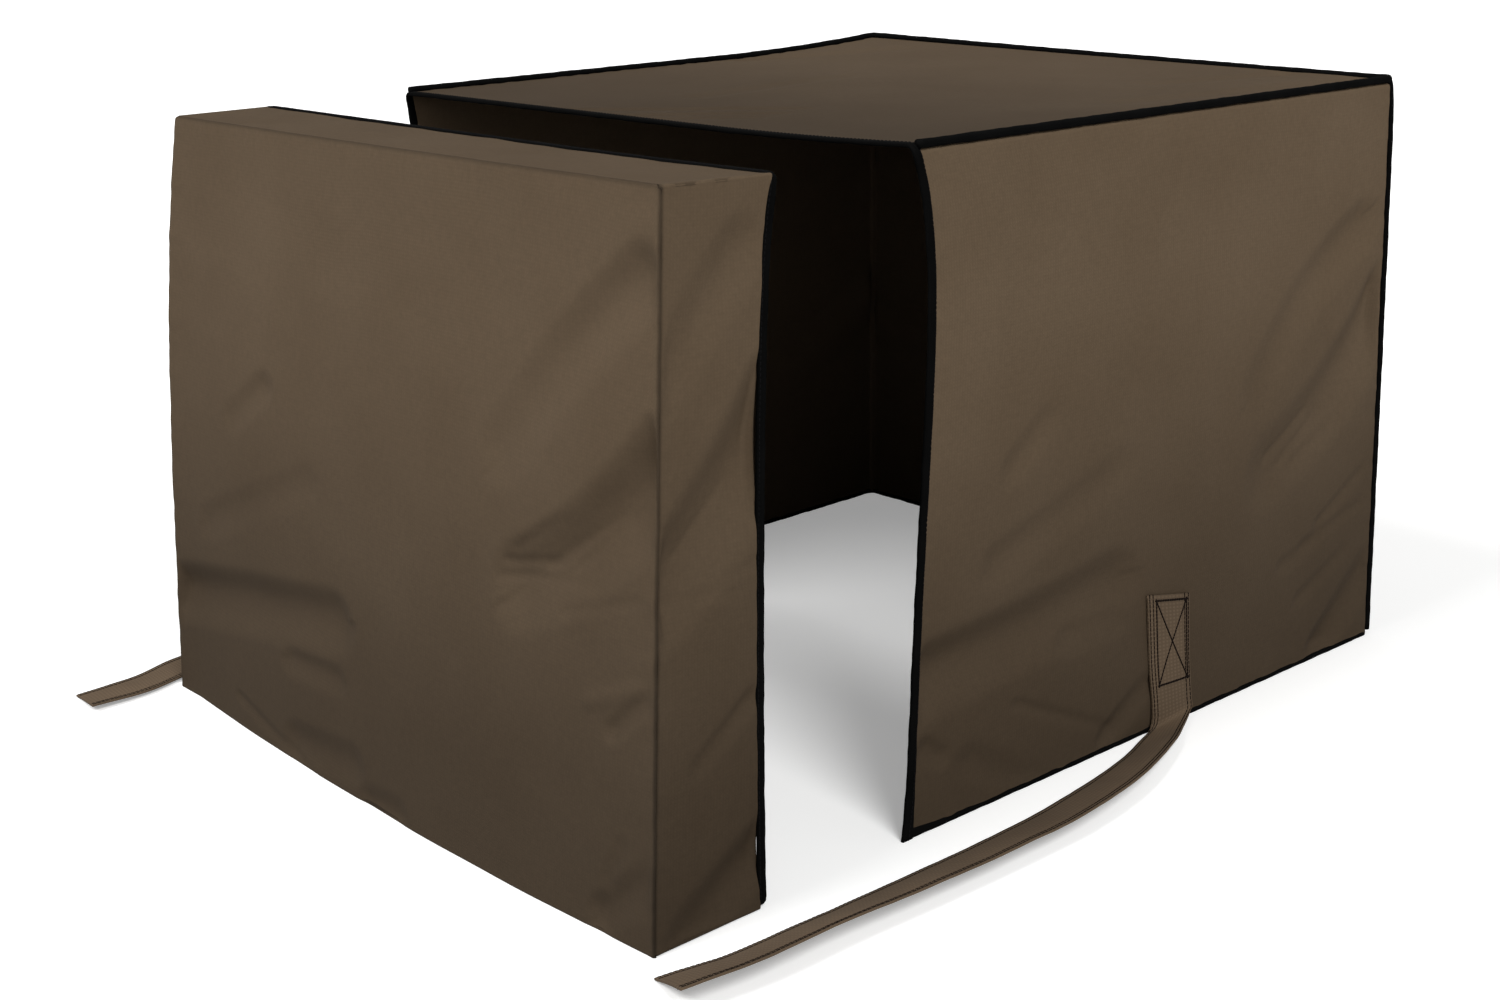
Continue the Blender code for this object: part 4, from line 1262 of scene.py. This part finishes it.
def makeStrap(side, sign, node, seed):
    near, far = strapEdges(side, sign)
    across = np.linspace(0, 1, 25)
    grid = near[:, None, :] + across[None, :, None] * (far - near)[:, None, :]
    facing = gridNormals(grid)
    if facing[2, 12, 0] * sign < 0:
        facing = -facing
    lengths = np.concatenate([[0], np.cumsum(np.linalg.norm(np.diff(grid[:, 12], axis=0), axis=1))])
    station = np.repeat(lengths[:, None], len(across), axis=1)
    width = np.repeat(across[None], len(lengths), axis=0) * trim["strapWidth"]
    # a slight cup across the width and a groove under each line of stitches
    lift = 0.0004 * np.sin(math.pi * across)[None]
    for line in (0.0062, 0.0440):
        lift = lift - 0.00035 * hump((width - line) / 0.0022)
    lift = lift + 0.0003 * ripple(station, width, seed, 0.09, 0.02, 5) * smoothStep(station / 0.15)
    outer = grid + facing * (trim["strapThickness"] / 2 + lift)[..., None]
    points = outer[:, ::-1] if np.dot(gridNormals(outer)[2, 12], facing[2, 12]) < 0 else outer
    metres = np.stack([station, width], axis=-1)
    piece = sheetPiece(side + "_webbing", points, trim["strapThickness"], webbing, metres)
    total = float(lengths[-1])
    seams = []

    # Places on the strap's outer face, by distance from its top and over its width in metres.
    def onStrap(distance, over):
        rows = np.interp(distance, lengths, np.arange(len(lengths)))
        columns = np.asarray(over) / trim["strapWidth"] * (len(across) - 1)
        r0 = np.clip(rows.astype(int), 0, len(lengths) - 2)
        c0 = np.clip(columns.astype(int), 0, len(across) - 2)
        fr, fc = (rows - r0)[:, None], (columns - c0)[:, None]
        places = []
        for source in (outer, facing):
            low = source[r0, c0] * (1 - fc) + source[r0, c0 + 1] * fc
            high = source[r0 + 1, c0] * (1 - fc) + source[r0 + 1, c0 + 1] * fc
            places.append(low * (1 - fr) + high * fr)
        return places

    for number, over in enumerate((0.0020, 0.0062, 0.0440, 0.0482)):
        distance = np.linspace(0.001, total - 0.003, 600)
        place, normal = onStrap(distance, np.full(600, over))
        row = stitches(
            f"{side}_edge_stitches_{number}", place, normal, 0.0040, 0.0038, 0.00045, brownThread, 0.0001
        )
        seams.append(row)
    first, last, nearSide, farSide = 0.0045, 0.0770, 0.0095, 0.0460
    box = (
        ((first, nearSide), (first, farSide)),
        ((first, farSide), (last, farSide)),
        ((last, farSide), (last, nearSide)),
        ((last, nearSide), (first, nearSide)),
        ((first, nearSide), (last, farSide)),
        ((first, farSide), (last, nearSide)),
    )
    for number, ((d0, w0), (d1, w1)) in enumerate(box):
        place, normal = onStrap(np.linspace(d0, d1, 60), np.linspace(w0, w1, 60))
        thick = 0.0009 if number in (0, 2) else 0.0007
        row = stitches(
            f"{side}_box_stitches_{number}", place, normal, 0.0030, 0.0033, thick, brownThread, 0.0
        )
        seams.append(row)
    for row in seams:
        declare(row, [])
    declare(piece, [node])
    print(side, "strap", round(total, 3), "m long")


makeCapFront()
makeCapGussets()
makeCapBinding()
print("front cap made")
makeTopPanel()
makeSidePanel("right_panel", "rear_right_panel", 1, rightFolds, lean["bowRight"], 81)
makeSidePanel("left_panel", "rear_left_panel", -1, leftFolds, lean["bowLeft"], 91)
makeBackPanel()
makeRearBinding()
makeHemBinding()
makeAllPiping()
print("rear cover made")
makeStrap("right", 1, "right_strap", 101)
makeStrap("left", -1, "left_strap", 111)
print("straps made")


# Floor and light

studio = {
    "floorColour": "#F6F6F5",
    "floorCast": 0.42,  # how pale the floor is to all but the camera
    "floorGlow": 0.30,  # light that lifts the floor to the photograph's white
    "skySeen": 1.0,
    "skyCast": 0.24,  # how bright the sky is to all but the camera
    "suns": (
        # name, azimuth, elevation, strength, softness in degrees
        ("front", -16.0, 48.0, 2.15, 24.0),
        ("side", 72.0, 48.0, 1.95, 24.0),
        ("fill", 56.0, 14.0, 0.45, 40.0),
    ),
}


# A pale floor, an even sky and two broad lamps, high at the front left and the right. The floor and the
# sky look white and throw little light back, so that the folds keep their shading.
def makeStudio():
    mesh = bpy.data.meshes.new("floor")
    mesh.from_pydata([(-40, -40, 0), (40, -40, 0), (40, 40, 0), (-40, 40, 0)], [], [(0, 1, 2, 3)])
    material, tree, shader = newMaterial("pale floor")
    ray = addNode(tree, "ShaderNodeLightPath")
    colour = addNode(
        tree,
        "ShaderNodeMix",
        {"data_type": "RGBA"},
        {6: grey(studio["floorCast"]), 7: linear(studio["floorColour"])},
        {0: (ray, "Is Camera Ray")},
    )
    glow = addNode(
        tree,
        "ShaderNodeMath",
        {"operation": "MULTIPLY"},
        {1: studio["floorGlow"]},
        {0: (ray, "Is Camera Ray")},
    )
    setNode(
        tree,
        shader,
        inputs={"Emission Color": grey(1), "Roughness": 0.9, "Specular IOR Level": 0.0},
        links={"Base Color": (colour, 2), "Emission Strength": (glow, "Value")},
    )
    mesh.materials.append(material)
    floor = bpy.data.objects.new("floor", mesh)
    floor.location = (0, 0, floorZ)
    bpy.context.scene.collection.objects.link(floor)
    world = bpy.data.worlds.new("studio")
    world.use_nodes = True
    background = world.node_tree.nodes["Background"]
    background.inputs["Color"].default_value = (1.0, 1.0, 1.0, 1.0)
    seen = addNode(world.node_tree, "ShaderNodeLightPath")
    strength = addNode(
        world.node_tree,
        "ShaderNodeMapRange",
        inputs={"To Min": studio["skyCast"], "To Max": studio["skySeen"]},
        links={"Value": (seen, "Is Camera Ray")},
    )
    world.node_tree.links.new(strength.outputs["Result"], background.inputs["Strength"])
    bpy.context.scene.world = world
    for name, azimuth, elevation, power, softness in studio["suns"]:
        data = bpy.data.lights.new(name, "SUN")
        data.energy = power
        data.angle = math.radians(softness)
        lamp = bpy.data.objects.new(name, data)
        bpy.context.scene.collection.objects.link(lamp)
        lamp.rotation_euler = (math.radians(90 - elevation), 0, math.radians(azimuth))
    bpy.context.scene.view_settings.view_transform = "Standard"
    bpy.context.scene.view_settings.look = "None"


makeStudio()
print("studio made")
